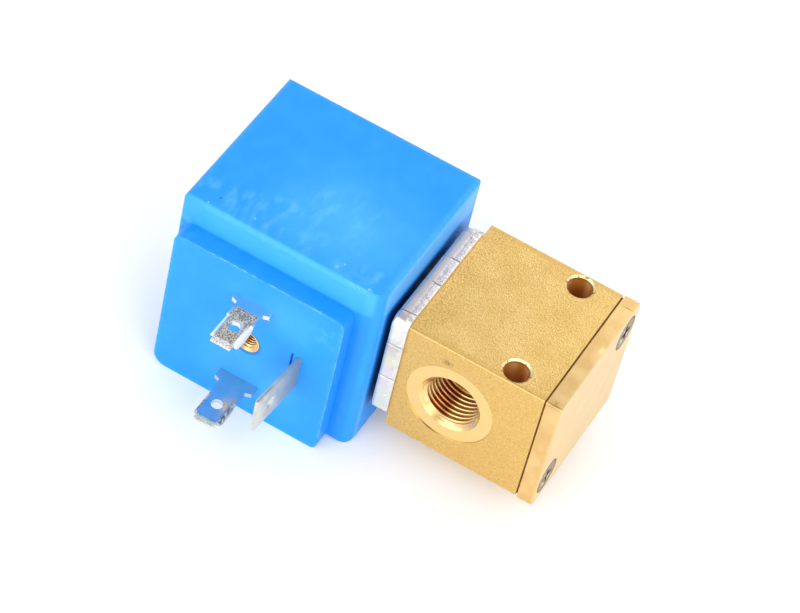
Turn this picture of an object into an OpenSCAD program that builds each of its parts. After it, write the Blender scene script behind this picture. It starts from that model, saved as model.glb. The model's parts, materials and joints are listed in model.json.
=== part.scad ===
// Direct-acting two-way solenoid valve: a brass body with two threaded ports,
// an armature tube held by a flange plate, and a moulded plug-in coil.
//
// The origin is the middle of the pair of mounting holes, on the valve's axis.
// +X runs along the axis from the coil to the cover, +Z along the mounting
// holes, and the coil's plug and the inlet port face -Y. Millimetres.

/* [Valve body] */
// Length of the brass block along the valve's axis
body_len = 23.4; // [23:0.1:30]
// Width of the block from port face to port face
body_w = 26.6; // [25.5:0.1:32]
// Height of the block along the mounting holes
body_h = 23; // [22:0.1:28]
// Rounding of the block's four long edges
body_edge_r = 0.3; // [0.2:0.1:2]

/* [Mounting holes] */
// Diameter of the two through holes
hole_d = 3.6; // [3:0.1:3.8]
// Distance between the two holes
hole_pitch = 21.2; // [20.6:0.1:22]
// Distance from the holes to the body's cover end
hole_inset = 6.2; // [5.6:0.1:6.6]
// Depth of the chamfer at each mouth
hole_chamfer = 0.35; // [0.1:0.05:0.6]

/* [Ports] */
// Major diameter of the port thread, 9.73 for G 1/8
port_d = 9.73; // [8:0.01:10.4]
// Length of full thread from the port's face
port_thread_len = 7.5; // [6:0.1:8]
// Diameter of the tapping drill under the thread
port_drill_d = 8.57; // [7:0.01:9]
// Depth of the drilled hole beyond the thread
port_drill_run = 1.4; // [0.5:0.1:2]
// Distance from the flange end to the ports' axis
port_inset = 9.2; // [9:0.1:10]
// Diameter of the machined sealing ring around each port
port_ring_d = 15; // [12:0.1:16.5]
// Depth of that ring below the face
port_ring_depth = 0.15; // [0.05:0.05:0.4]
// Depth of the chamfer at each port's mouth
port_chamfer = 0.45; // [0.2:0.05:0.8]

/* [Flow path] */
// Diameter of the seat's orifice
orifice_d = 2; // [1:0.1:2.4]
// Diameter of the axial bore behind the nozzle
axial_bore_d = 2.6; // [2.4:0.1:3.4]
// Outer diameter of the pressed-in seat nozzle
nozzle_d = 4.8; // [4:0.1:5.2]
// Diameter of the lip that the seal closes on
nozzle_lip_d = 3.2; // [2.8:0.1:3.6]
// Length of the nozzle
nozzle_len = 4.7; // [4:0.1:6]
// Depth of the nozzle's lip below the body's flange face
nozzle_depth = 1.2; // [1.1:0.05:1.4]
// Diameter of the armature chamber in the body
chamber_d = 12.4; // [12:0.1:12.8]
// Depth of that chamber
chamber_depth = 3.4; // [3:0.1:3.8]
// Diameter of the two drilled passages
passage_d = 2.4; // [1.6:0.1:2.6]
// Distance of the passages from the valve's axis
passage_offset = 4.9; // [4.5:0.1:5]
// Diameter of the gallery under the cover
gallery_d = 13; // [12.6:0.1:14]
// Depth of that gallery
gallery_depth = 2.4; // [1:0.1:2.8]

/* [Cover] */
// Thickness of the cover plate
cover_t = 2.7; // [2:0.1:5]
// Width by which the cover stands past the body on the outlet side
cover_over_w = 0.2; // [0:0.05:0.5]
// Height by which the cover stands past the body's lower face
cover_over_h = 0.35; // [0:0.05:0.6]
// Thickness of the cover's gasket
gasket_t = 0.3; // [0.2:0.05:0.8]
// Distance that the gasket's outline stays inside the body's
gasket_inset = 0.25; // [0:0.05:0.6]
// Place of the cover's two screws across the ports, each side of the axis
cover_screw_y = 9.9; // [9.4:0.1:10.2]
// Place of the cover's two screws along the height, each side of the axis
cover_screw_z = 7.7; // [7.2:0.1:8]

/* [Countersunk screws] */
// Thread diameter of the screws
screw_d = 3; // [2.5:0.1:3.2]
// Diameter of the screw heads
screw_head_d = 5.8; // [5:0.1:6]
// Length of each screw with its head
screw_len = 6; // [5:0.1:6.2]
// Width of the cross recess's slots
recess_w = 0.7; // [0.4:0.05:0.9]
// Length of the cross recess's slots
recess_len = 3; // [2:0.1:3.4]
// Depth of the cross recess
recess_depth = 0.9; // [0.5:0.05:1.1]

/* [Flange plate] */
// Thickness of the stamped plate
plate_t = 2.8; // [1.8:0.1:4]
// Width of the plate across the ports
plate_w = 28.2; // [26.5:0.1:32]
// Height of the plate
plate_h = 25.4; // [23:0.1:30]
// Length cut off two opposite corners, measured along each edge
plate_cut = 4.6; // [1:0.1:4.8]
// Rounding of the other two corners
plate_corner_r = 1.8; // [0.5:0.1:4]
// Place of the plate's four screws across the ports, each side of the axis
plate_screw_y = 9.9; // [9.6:0.1:10.2]
// Place of the plate's four screws along the height, each side of the axis
plate_screw_z = 7.7; // [7.2:0.1:7.9]

/* [Armature tube] */
// Outer diameter of the tube that the coil slides over
tube_d = 13; // [12.6:0.1:13.4]
// Bore of the tube
tube_bore_d = 11.2; // [11:0.1:11.6]
// Diameter of the collar that the plate clamps
collar_d = 17.2; // [16.4:0.1:18]
// Thickness of that collar
collar_t = 1.5; // [1:0.1:1.7]
// Diameter of the shoulder that the coil seats on
shoulder_d = 14.4; // [14:0.1:15]
// Section diameter of the tube's O-ring
o_ring_t = 1.2; // [0.8:0.1:1.5]
// Middle diameter of the tube's O-ring
o_ring_d = 15; // [14.6:0.1:15.6]

/* [Armature] */
// Running clearance of the armature in the tube, all round
armature_clearance = 0.05; // [0.02:0.01:0.1]
// Length of the armature
armature_len = 22; // [16:0.5:26]
// Width over the armature's two flow flats
armature_flats = 10.2; // [9:0.1:10.8]
// Diameter of the rubber seal in the armature's face
seal_d = 6; // [4.4:0.1:7]
// Thickness of the seal
seal_t = 2; // [1:0.1:3]
// Height that the seal stands out of the armature
seal_proud = 0.4; // [0.2:0.05:0.6]
// Stroke of the armature
stroke = 1.2; // [0.5:0.1:2]
// Gap left between armature and core at full stroke
core_gap = 0.05; // [0.02:0.01:0.2]

/* [Fixed core and coil nut] */
// Depth of the core's head below the yoke's outer face
head_sink = 0.55; // [0.3:0.05:1.5]
// Length of the core's head beyond the tube
core_head_len = 2.8; // [1.5:0.1:4]
// Diameter of the core's threaded stud
stud_d = 8; // [6:0.1:8.4]
// Middle diameter of the copper shading ring
shading_d = 8.6; // [7.8:0.1:9]
// Width of the shading ring
shading_w = 0.9; // [0.5:0.1:1.2]
// Depth of the shading ring
shading_depth = 1.5; // [1:0.1:3]
// Thickness of the washer under the nut
washer_t = 1; // [0.6:0.1:1.4]
// Outer diameter of that washer
washer_d = 15; // [14.2:0.1:16]
// Width over the coil nut's flats
nut_flats = 13; // [11:0.1:13.2]
// Height of the coil nut
nut_h = 3.6; // [2.5:0.1:6]
// Height of the chamfer on the nut's outer corners
nut_chamfer = 0.7; // [0.2:0.1:1]
// Length of stud beyond the nut
stud_end = 0.2; // [0:0.1:1]

/* [Return spring] */
// Wire diameter
spring_wire_d = 0.6; // [0.3:0.05:0.7]
// Outer diameter of the spring
spring_d = 5.6; // [4:0.1:6]
// Number of turns
spring_turns = 7; // [4:0.5:9]
// Depth of the spring's pocket in the armature
spring_pocket = 9; // [5:0.5:12]
// Clearance around the spring in its pocket
spring_clearance = 0.3; // [0.1:0.05:0.5]

/* [Coil] */
// Gap between the flange plate and the coil
coil_gap = 1.2; // [0.5:0.1:5]
// Width of the rubber gasket ring in that gap
coil_gasket_w = 3; // [1:0.1:4]
// Length of the coil moulding along the axis
coil_len = 35.2; // [33:0.1:45]
// Width of the moulding across the ports
coil_w = 31.7; // [31:0.1:40]
// Height of the moulding
coil_h = 35.4; // [32:0.1:42]
// Shift of the moulding below the valve's axis
coil_drop = 0.3; // [0:0.05:0.5]
// Sideways shift of the moulding towards the plug
coil_shift = 0.3; // [0:0.05:0.5]
// Rounding of the upright edge between the slab and the valve
coil_near_r = 3; // [0.5:0.1:4]
// Rounding of the upright edge next to the valve on the other side
coil_back_r = 1.2; // [0.3:0.1:4]
// Rounding of the upright edges at the far end
coil_far_r = 0.5; // [0.3:0.1:3]
// Rounding of the level edges
coil_edge_r = 1; // [0.3:0.1:2.5]
// Running clearance of the coil on the tube, all round
coil_clearance = 0.08; // [0.02:0.01:0.1]
// Depth of the yoke plate below the moulding's valve end
yoke_sink = 1; // [0.4:0.1:2]
// Depth of the recess for washer and nut in the far end
nut_recess = 2; // [1:0.1:3]
// Clearance around washer and shoulder in their recesses
recess_clearance = 0.5; // [0.4:0.1:1]

/* [Bobbin, winding and yoke] */
// Wall of the bobbin's tube and flanges
bobbin_wall = 1.2; // [0.8:0.1:1.6]
// Height that the bobbin's flanges stand out of the yoke's sides
bobbin_rim = 0.1; // [0:0.05:0.5]
// Depth of the winding below the flanges' rims
winding_sink = 0.2; // [0.1:0.1:1]
// Thickness of the steel yoke
yoke_t = 2.2; // [1.5:0.1:2.4]
// Height of the yoke
yoke_h = 24; // [18:0.5:28]
// Gap between the bobbin's rim and the yoke's web and edges
yoke_gap = 0.1; // [0.05:0.05:0.3]
// Least moulding outside the yoke's web
web_cover = 1.1; // [0.6:0.1:2]

/* [Plug face] */
// Thickness of the raised slab that the plug seats on
slab_t = 3.3; // [2:0.1:6]
// Length of the slab along the valve's axis
slab_len = 30.1; // [28:0.1:31]
// Height of the slab
slab_h = 30; // [28:0.1:31]
// Distance from the slab to the moulding's far end
slab_inset = 1.2; // [0.6:0.1:3]
// Rounding of three of the slab's corners
slab_corner_r = 1.4; // [0.3:0.1:3]
// Rounding of the slab's lower corner at the far end
slab_low_r = 2.4; // [0.3:0.1:4]

// Width of the mould mark beside the earth terminal
mark_w = 0.4; // [0.2:0.1:0.8]
// Height of that mark
mark_h = 3; // [1:0.1:5]
// Depth of that mark
mark_depth = 0.5; // [0.2:0.1:1.5]
// Gap between that mark and the earth terminal
mark_gap = 0.7; // [0.4:0.1:1.2]

/* [Terminals] */
// Distance between the two line terminals
pin_pitch = 18; // [17:0.1:18.5]
// Shift of pins and insert along the axis from the slab's middle
pin_shift = 0.05; // [-0.5:0.05:0.5]
// Height of pins and insert above the slab's middle
pin_rise = 0.3; // [-0.5:0.1:0.5]
// Distance from the line terminals to the earth terminal along the axis
earth_pitch = 9.1; // [8.6:0.1:9.6]
// Lean of the earth blade away from the valve, in degrees
earth_lean = 3.8; // [0:0.1:5]
// Drop of the earth terminal below the slab's middle
earth_drop = 0.3; // [0:0.1:0.6]
// Depth of the earth terminal's bend below the slab's face
earth_bend_depth = 0.3; // [0.2:0.1:0.6]
// Sheet thickness of the terminals
blade_t = 0.8; // [0.5:0.1:1]
// Width of the terminals at their shoulders and of the earth blade
blade_w = 6.3; // [5.8:0.1:6.5]
// Free length of the line terminals
blade_len = 10.9; // [9:0.1:14]
// Free length of the earth blade
earth_len = 11.8; // [10:0.1:14]
// Length of the terminals' shoulders
shoulder_len = 1.8; // [1:0.1:2.5]
// Width of the line terminals beyond their shoulders
neck_w = 4.7; // [4:0.1:5.4]
// Width of every blade's tip
tip_w = 3.4; // [2.5:0.1:3.8]
// Length of every blade's tapered tip
tip_len = 1.1; // [0.5:0.1:2]
// Diameter of the blades' detent holes
blade_hole_d = 1.9; // [1:0.1:2.2]
// Distance from the line blades' holes to their tips
blade_hole_inset = 4.2; // [3:0.1:5]
// Distance from the earth blade's hole to its tip
earth_hole_inset = 5; // [3:0.1:6]
// Chord length of the line terminals' bent side ears
ear_len = 4.6; // [3:0.1:5]
// Depth of those ears below the blade
ear_drop = 1.3; // [0.6:0.1:2]
// Sheet thickness of those ears
ear_t = 0.6; // [0.3:0.1:0.8]
// Distance from the ears to the blades' tips
ear_inset = 1.2; // [1.1:0.1:1.8]
// Depth that the terminals are moulded in
root_depth = 5; // [3:0.1:5.5]
// Diameter of the winding leads
lead_d = 0.6; // [0.3:0.1:1]

/* [Plug screw insert] */
// Thread diameter of the insert, 3 for M3
insert_thread_d = 3; // [2.5:0.1:3.2]
// Outer diameter of the insert
insert_d = 4.8; // [4:0.1:5.4]
// Length of the insert
insert_len = 5.5; // [4:0.1:6]
// Depth of the insert below the slab's face
insert_sink = 0.15; // [0.05:0.05:0.5]
// Thickness of the insert's closed end
insert_floor = 1; // [0.5:0.1:1.5]
// Depth of the chamfer at the insert's mouth
insert_chamfer = 0.4; // [0.1:0.05:0.6]

/* [Fits] */
// Radial gap between pieces that are screwed or pushed together
slip = 0.05; // [0.02:0.01:0.1]
// Radial gap between pieces that pass each other freely
play = 0.2; // [0.1:0.05:0.3]

/* [Hidden] */
$fn = 96;
// Overlap that joins two shapes of one piece
eps = 0.01;
// Run of every cut past the face that it opens
over = 1;

// Places along the axis, from the cover to the coil's far end.
cover_face_x = hole_inset;
cover_x = cover_face_x + gasket_t;
cover_end_x = cover_x + cover_t;
flange_x = hole_inset - body_len;
port_x = flange_x + port_inset;
plate_x = flange_x - plate_t;
coil_x = plate_x - coil_gap;
coil_end_x = coil_x - coil_len;
yoke_x = coil_x - yoke_sink;
yoke_end_x = coil_end_x + nut_recess;
bobbin_x = yoke_x - yoke_t;
bobbin_end_x = yoke_end_x + yoke_t;

// Armature: its seal rests on the nozzle's lip when the valve is closed.
lip_x = flange_x + nozzle_depth;
armature_x = lip_x - seal_proud;
armature_end_x = armature_x - armature_len;
core_face_x = armature_end_x - stroke - core_gap;
core_end_x = yoke_end_x + head_sink;
tube_end_x = core_end_x + core_head_len;
core_len = core_face_x - tube_end_x;
nut_x = yoke_end_x - washer_t;
stud_end_x = nut_x - nut_h - stud_end;

// Sealing groove under the tube's collar.
collar_pocket_d = collar_d + 2 * slip;
plate_hole_d = shoulder_d + 2 * play;
groove_inner_d = o_ring_d - o_ring_t - 4 * slip;
groove_outer_d = o_ring_d + o_ring_t + 4 * slip;

// The coil around the axis.
coil_bore_d = tube_d + 2 * coil_clearance;
coil_low_y = -coil_shift - coil_w / 2;
coil_high_y = -coil_shift + coil_w / 2;
coil_low_z = -coil_drop - coil_h / 2;
coil_high_z = -coil_drop + coil_h / 2;
bobbin_flange_d = yoke_h + 2 * bobbin_rim;
winding_d = bobbin_flange_d - 2 * winding_sink;
winding_inner_d = coil_bore_d + 2 * bobbin_wall;
web_y = bobbin_flange_d / 2 + yoke_gap;
web_t = min(yoke_t, coil_high_y - web_cover - web_y);
washer_recess_d = washer_d + 2 * recess_clearance;
shoulder_recess_d = shoulder_d + 2 * recess_clearance;

// The plug face.
slab_y = coil_low_y - slab_t;
slab_far_x = coil_end_x + slab_inset;
plug_x = slab_far_x + slab_len / 2 + pin_shift;
plug_z = coil_low_z + slab_h / 2 + pin_rise;
earth_x = plug_x + earth_pitch;
earth_z = plug_z - earth_drop;
root_y = slab_y + root_depth;

// ---- Helpers ----

// Straight rod along X, from x0 over len.
module rod_x(x0, len, d) {
    translate([x0, 0, 0]) rotate([0, 90, 0]) cylinder(h = len, d = d);
}

// Cone along X with diameter d0 at x0 and d1 at its other end.
module cone_x(x0, len, d0, d1) {
    translate([x0, 0, 0]) rotate([0, 90, 0]) cylinder(h = len, d1 = d0, d2 = d1);
}

// Extrudes a profile drawn in (y, z) along X.
module extrude_x(x0, len) {
    translate([x0, 0, 0]) rotate([90, 0, 90]) linear_extrude(len) children();
}

// Extrudes a profile drawn in (x, z) along Y.
module extrude_y(y0, len) {
    translate([0, y0 + len, 0]) rotate([90, 0, 0]) linear_extrude(len) children();
}

// Extrudes a profile drawn in (x, y) along Z.
module extrude_z(z0, len) {
    translate([0, 0, z0]) linear_extrude(len) children();
}

// What is outside a quarter circle in a square corner at the origin.
module corner_waste(r) {
    difference() {
        translate([-eps, -eps]) square(r + eps);
        translate([r, r]) circle(r);
    }
}

// Rectangle from (x0, y0) to (x1, y1) with its corner radii in the order
// low-low, high-low, high-high, low-high.
module soft_rect(x0, y0, x1, y1, r) {
    difference() {
        translate([x0, y0]) square([x1 - x0, y1 - y0]);
        translate([x0, y0]) corner_waste(r[0]);
        translate([x1, y0]) mirror([1, 0]) corner_waste(r[1]);
        translate([x1, y1]) rotate(180) corner_waste(r[2]);
        translate([x0, y1]) mirror([0, 1]) corner_waste(r[3]);
    }
}

// Outline of the body in (y, z), drawn in by inset.
module body_outline(inset = 0) {
    y = body_w / 2 - inset;
    z = body_h / 2 - inset;
    soft_rect(-y, -z, y, z, [for (i = [0:3]) body_edge_r]);
}

// Places children at the two diagonal cover screws.
module at_cover_screws() {
    for (s = [-1, 1]) translate([0, s * cover_screw_y, s * cover_screw_z]) children();
}

// Places children at the four flange screws.
module at_plate_screws() {
    for (sy = [-1, 1], sz = [-1, 1])
        translate([0, sy * plate_screw_y, sz * plate_screw_z]) children();
}

// Countersunk screw along +X with its head flush at x = 0.
module countersunk_screw() {
    head_h = (screw_head_d - screw_d) / 2;
    difference() {
        union() {
            cone_x(0, head_h, screw_head_d, screw_d);
            rod_x(head_h - eps, screw_len - head_h + eps, screw_d);
        }
        for (a = [0, 90]) rotate([a, 0, 0])
            translate([-eps, -recess_w / 2, -recess_len / 2])
                cube([recess_depth + eps, recess_w, recess_len]);
    }
}

// Hole in a plate for such a screw, with its mouth at x = 0.
module countersunk_hole(plate) {
    grow = 2 * slip;
    head_h = (screw_head_d - screw_d) / 2;
    cone_x(0, head_h, screw_head_d + grow, screw_d + grow);
    rod_x(-eps, 2 * eps, screw_head_d + grow);
    rod_x(0, plate + over, screw_d + grow);
}

// Tapped hole for such a screw below a plate, from x = 0.
module tapped_hole(plate) {
    rod_x(-over, screw_len - plate + over + 2 * slip, screw_d + 2 * slip);
}

// ---- Valve body and its cover ----

// Threaded port at y = 0 that opens towards -Y, with its sealing ring.
module port_cut() {
    drill = port_thread_len + port_drill_run;
    ring_z = port_ring_depth;
    chamfer_d = port_d + 2 * port_chamfer;
    rotate([-90, 0, 0]) {
        translate([0, 0, -over]) cylinder(h = ring_z + over, d = port_ring_d);
        translate([0, 0, ring_z]) cylinder(h = port_chamfer, d1 = chamfer_d, d2 = port_d);
        cylinder(h = port_thread_len, d = port_d);
        cylinder(h = drill, d = port_drill_d);
    }
}

// Through hole along Z with a chamfer at each mouth.
module mounting_hole() {
    mouth_d = hole_d + 2 * hole_chamfer;
    translate([0, 0, -body_h / 2 - over]) cylinder(h = body_h + 2 * over, d = hole_d);
    for (side = [0, 1]) mirror([0, 0, side])
        translate([0, 0, body_h / 2 - hole_chamfer])
            cylinder(h = hole_chamfer + eps, d1 = hole_d, d2 = mouth_d + 2 * eps);
}

module valve_body() {
    color("goldenrod") difference() {
        extrude_x(flange_x, body_len) body_outline();
        // Pocket, seal groove and armature chamber
        rod_x(flange_x - over, collar_t + over, collar_pocket_d);
        difference() {
            rod_x(flange_x, collar_t + o_ring_t, groove_outer_d);
            rod_x(flange_x, collar_t + o_ring_t, groove_inner_d);
        }
        rod_x(flange_x - over, chamber_depth + over, chamber_d);
        // Seat pocket, axial bore and gallery under the cover
        rod_x(flange_x, nozzle_depth + nozzle_len, nozzle_d);
        rod_x(flange_x, body_len + over, axial_bore_d);
        rod_x(cover_face_x - gallery_depth, gallery_depth + over, gallery_d);
        // Ports and their passages
        for (side = [0, 1]) mirror([0, side, 0]) translate([port_x, -body_w / 2, 0]) port_cut();
        translate([0, -passage_offset, 0]) rod_x(flange_x, port_inset, passage_d);
        translate([0, passage_offset, 0]) rod_x(port_x, cover_face_x - port_x, passage_d);
        // Mounting holes and screw threads
        for (side = [-1, 1]) translate([0, side * hole_pitch / 2, 0]) mounting_hole();
        translate([flange_x, 0, 0]) at_plate_screws() tapped_hole(plate_t);
        translate([cover_face_x, 0, 0]) mirror([1, 0, 0])
            at_cover_screws() tapped_hole(cover_t + gasket_t);
    }
}

module seat_nozzle() {
    lip_h = (nozzle_d - nozzle_lip_d) / 2;
    color("lightsteelblue") difference() {
        union() {
            cone_x(lip_x, lip_h, nozzle_lip_d, nozzle_d);
            rod_x(lip_x + lip_h, nozzle_len - lip_h, nozzle_d);
        }
        rod_x(lip_x - over, nozzle_len + 2 * over, orifice_d);
    }
}

module cover_gasket() {
    color("saddlebrown") difference() {
        extrude_x(cover_face_x, gasket_t) body_outline(gasket_inset);
        rod_x(cover_face_x - over, gasket_t + 2 * over, gallery_d);
        at_cover_screws() rod_x(cover_face_x - over, gasket_t + 2 * over, screw_d + 2 * play);
    }
}

// The cover is flush with the body at the top and at the inlet side, and a little
// larger than the body at the other two sides.
module cover_plate() {
    y = body_w / 2;
    z = body_h / 2;
    color("khaki") difference() {
        extrude_x(cover_x, cover_t)
            soft_rect(-y, -z - cover_over_h, y + cover_over_w, z, [for (i = [0:3]) body_edge_r]);
        translate([cover_end_x, 0, 0]) mirror([1, 0, 0]) at_cover_screws() countersunk_hole(cover_t);
    }
}

module cover_screws() {
    color("silver") translate([cover_end_x, 0, 0]) mirror([1, 0, 0])
        at_cover_screws() countersunk_screw();
}

// ---- Armature tube, its flange and what it holds ----

module tube_o_ring() {
    color("dimgray") translate([flange_x + collar_t + o_ring_t / 2, 0, 0]) rotate([0, 90, 0])
        rotate_extrude() translate([o_ring_d / 2, 0]) circle(d = o_ring_t, $fn = 32);
}

module armature_tube() {
    color("lightgray") difference() {
        union() {
            rod_x(flange_x, collar_t, collar_d);
            rod_x(yoke_x, flange_x - yoke_x + eps, shoulder_d);
            rod_x(tube_end_x, flange_x - tube_end_x, tube_d);
        }
        rod_x(tube_end_x - over, flange_x + collar_t - tube_end_x + 2 * over, tube_bore_d);
    }
}

module flange_plate() {
    y = plate_w / 2;
    z = plate_h / 2;
    color("gainsboro") difference() {
        extrude_x(plate_x, plate_t) difference() {
            translate([-y, -z]) square([plate_w, plate_h]);
            for (a = [0, 180]) rotate(a) {
                translate([y, -z]) mirror([1, 0]) corner_waste(plate_corner_r);
                polygon([[y - plate_cut - over, z + over], [y + over, z + over],
                         [y + over, z - plate_cut - over]]);
            }
        }
        rod_x(plate_x - over, plate_t + 2 * over, plate_hole_d);
        translate([plate_x, 0, 0]) at_plate_screws() countersunk_hole(plate_t);
    }
}

module flange_screws() {
    color("silver") translate([plate_x, 0, 0]) at_plate_screws() countersunk_screw();
}

module fixed_core() {
    color("lightsteelblue") difference() {
        union() {
            rod_x(tube_end_x, core_len, tube_bore_d - 2 * slip);
            rod_x(core_end_x, core_head_len, tube_d);
            rod_x(stud_end_x, core_end_x - stud_end_x + eps, stud_d);
        }
        difference() {
            rod_x(core_face_x - shading_depth, shading_depth + over, shading_d + shading_w + 2 * slip);
            rod_x(core_face_x - shading_depth, shading_depth + over, shading_d - shading_w - 2 * slip);
        }
    }
}

module shading_ring() {
    color("chocolate") difference() {
        rod_x(core_face_x - shading_depth, shading_depth, shading_d + shading_w);
        rod_x(core_face_x - shading_depth - over, shading_depth + 2 * over, shading_d - shading_w);
    }
}

// Helix of wire from x0 over len, as one closed mesh.
module coil_spring(x0, len, outer_d, wire_d, turns) {
    sides = 10;
    rings = ceil(turns * 20);
    mean_r = (outer_d - wire_d) / 2;
    rise = len - wire_d;
    points = [for (i = [0:rings], k = [0:sides - 1])
        let (t = i / rings, a = 360 * turns * t, b = 360 * k / sides,
             r = mean_r + wire_d / 2 * cos(b))
        [x0 + wire_d / 2 + rise * t + wire_d / 2 * sin(b), r * cos(a), r * sin(a)]];
    walls = [for (i = [0:rings - 1], k = [0:sides - 1])
        let (n = (k + 1) % sides)
        [i * sides + k, i * sides + n, (i + 1) * sides + n, (i + 1) * sides + k]];
    first_cap = [for (k = [0:sides - 1]) sides - 1 - k];
    last_cap = [for (k = [0:sides - 1]) rings * sides + k];
    polyhedron(points, concat([first_cap], walls, [last_cap]), convexity = 8);
}

module return_spring() {
    color("slategray") coil_spring(core_face_x + slip, armature_end_x - core_face_x + spring_pocket
        - 2 * slip, spring_d, spring_wire_d, spring_turns);
}

module armature() {
    bore_r = tube_bore_d / 2 - armature_clearance;
    color("lightsteelblue") difference() {
        intersection() {
            rod_x(armature_end_x, armature_len, 2 * bore_r);
            translate([armature_end_x, -bore_r, -armature_flats / 2])
                cube([armature_len, 2 * bore_r, armature_flats]);
        }
        rod_x(armature_end_x - over, spring_pocket + over, spring_d + 2 * spring_clearance);
        rod_x(lip_x - seal_t, seal_t + over, seal_d + 2 * slip);
    }
}

module armature_seal() {
    color("dimgray") rod_x(lip_x - seal_t, seal_t, seal_d);
}

// ---- What clamps the coil ----

module coil_gasket() {
    color("black") difference() {
        rod_x(coil_x, coil_gap, plate_hole_d + 2 * coil_gasket_w);
        rod_x(coil_x - over, coil_gap + 2 * over, plate_hole_d);
    }
}

module coil_washer() {
    color("silver") difference() {
        rod_x(nut_x, washer_t, washer_d);
        rod_x(nut_x - over, washer_t + 2 * over, stud_d + 2 * play);
    }
}

module coil_nut() {
    corner_d = nut_flats / cos(30);
    end_x = nut_x - nut_h;
    color("silver") difference() {
        intersection() {
            translate([end_x, 0, 0]) rotate([0, 90, 0]) cylinder(h = nut_h, d = corner_d, $fn = 6);
            union() {
                cone_x(end_x, nut_chamfer, nut_flats - nut_chamfer, corner_d);
                rod_x(end_x + nut_chamfer - eps, nut_h - nut_chamfer + eps, corner_d);
            }
        }
        rod_x(end_x - over, nut_h + 2 * over, stud_d + 2 * slip);
    }
}

// ---- Coil ----

// Outer shape of the moulding: a block with rounded edges and the plug slab.
module moulding_block() {
    level = [for (i = [0:3]) coil_edge_r];
    intersection() {
        extrude_z(coil_low_z, coil_h)
            soft_rect(coil_end_x, coil_low_y, coil_x, coil_high_y,
                      [coil_far_r, coil_near_r, coil_back_r, coil_far_r]);
        extrude_y(coil_low_y, coil_w)
            soft_rect(coil_end_x, coil_low_z, coil_x, coil_high_z, level);
        extrude_x(coil_end_x, coil_len)
            soft_rect(coil_low_y, coil_low_z, coil_high_y, coil_high_z, level);
    }
    extrude_y(slab_y, slab_t + coil_near_r)
        soft_rect(slab_far_x, coil_low_z, slab_far_x + slab_len, coil_low_z + slab_h,
                  [slab_low_r, slab_corner_r, slab_corner_r, slab_corner_r]);
}

// The yoke without its bores: two end plates joined by a web, which is thinner
// than they are where the moulding leaves it less room.
module yoke_bar() {
    span = 2 * web_y + web_t;
    z = -yoke_h / 2;
    translate([yoke_x - yoke_t, -web_y, z]) cube([yoke_t, span, yoke_h]);
    translate([yoke_end_x, -web_y, z]) cube([yoke_t, span, yoke_h]);
    translate([yoke_end_x, web_y, z]) cube([yoke_x - yoke_end_x, web_t, yoke_h]);
}

module coil_housing() {
    color("dodgerblue") difference() {
        moulding_block();
        rod_x(bobbin_end_x, bobbin_x - bobbin_end_x, winding_d);
        bobbin_flange(bobbin_x - bobbin_wall);
        bobbin_flange(bobbin_end_x);
        yoke_bar();
        rod_x(coil_end_x - over, coil_len + 2 * over, coil_bore_d);
        rod_x(coil_end_x - over, nut_recess + over, washer_recess_d);
        rod_x(yoke_x, yoke_sink + over, shoulder_recess_d);
        for (side = [1, -1]) line_blade(side);
        for (side = [1, -1]) lead(side);
        earth_sheet();
        translate([plug_x, slab_y - eps, plug_z]) rotate([-90, 0, 0])
            cylinder(h = insert_sink + insert_len + eps, d = insert_d);
        // Mould mark beside the earth terminal
        translate([earth_x - blade_t / 2 - mark_gap - mark_w, slab_y - over, plug_z])
            cube([mark_w, mark_depth + over, mark_h]);
    }
}

// Solid disc of one bobbin flange.
module bobbin_flange(x0) {
    rod_x(x0, bobbin_wall, bobbin_flange_d);
}

module coil_bobbin() {
    color("ivory") difference() {
        union() {
            bobbin_flange(bobbin_x - bobbin_wall);
            bobbin_flange(bobbin_end_x);
            rod_x(bobbin_end_x, bobbin_x - bobbin_end_x, winding_inner_d);
        }
        rod_x(bobbin_end_x - over, bobbin_x - bobbin_end_x + 2 * over, coil_bore_d);
    }
}

module copper_winding() {
    x0 = bobbin_end_x + bobbin_wall;
    len = bobbin_x - bobbin_wall - x0;
    color("peru") difference() {
        rod_x(x0, len, winding_d);
        rod_x(x0 - over, len + 2 * over, winding_inner_d);
    }
}

module magnet_yoke() {
    color("gray") difference() {
        yoke_bar();
        rod_x(yoke_end_x - over, yoke_x - yoke_end_x + 2 * over, coil_bore_d);
    }
}

// ---- Terminals ----

// Height of a line terminal's middle: side 1 is the upper one, -1 the lower.
function line_z(side) = plug_z + side * pin_pitch / 2;

// Straight lead from a line terminal's root to the valve's mid-plane, or as
// far as the winding where that stops it.
module lead(side) {
    translate([plug_x, root_y, line_z(side)]) rotate([-90, 0, 0]) cylinder(h = -root_y, d = lead_d);
}

// Outline of a line terminal in (x, y), with its tip towards -y.
module line_outline() {
    tip_y = slab_y - blade_len;
    step_y = slab_y - shoulder_len;
    polygon([
        [-blade_w / 2, root_y], [blade_w / 2, root_y], [blade_w / 2, step_y],
        [neck_w / 2, step_y - (blade_w - neck_w) / 2], [neck_w / 2, tip_y + tip_len],
        [tip_w / 2, tip_y], [-tip_w / 2, tip_y], [-neck_w / 2, tip_y + tip_len],
        [-neck_w / 2, step_y - (blade_w - neck_w) / 2], [-blade_w / 2, step_y]
    ]);
}

// Round-bottomed ear that hangs from one edge of a line blade.
module side_ear() {
    r = (pow(ear_len / 2, 2) + pow(ear_drop, 2)) / (2 * ear_drop);
    mid_y = slab_y - blade_len + ear_inset + ear_len / 2;
    intersection() {
        translate([-ear_t, mid_y, r - ear_drop - blade_t / 2]) rotate([0, 90, 0])
            cylinder(h = ear_t, r = r);
        translate([-ear_t, mid_y - ear_len / 2, -blade_t / 2 - ear_drop])
            cube([ear_t, ear_len, ear_drop + blade_t]);
    }
}

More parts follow.
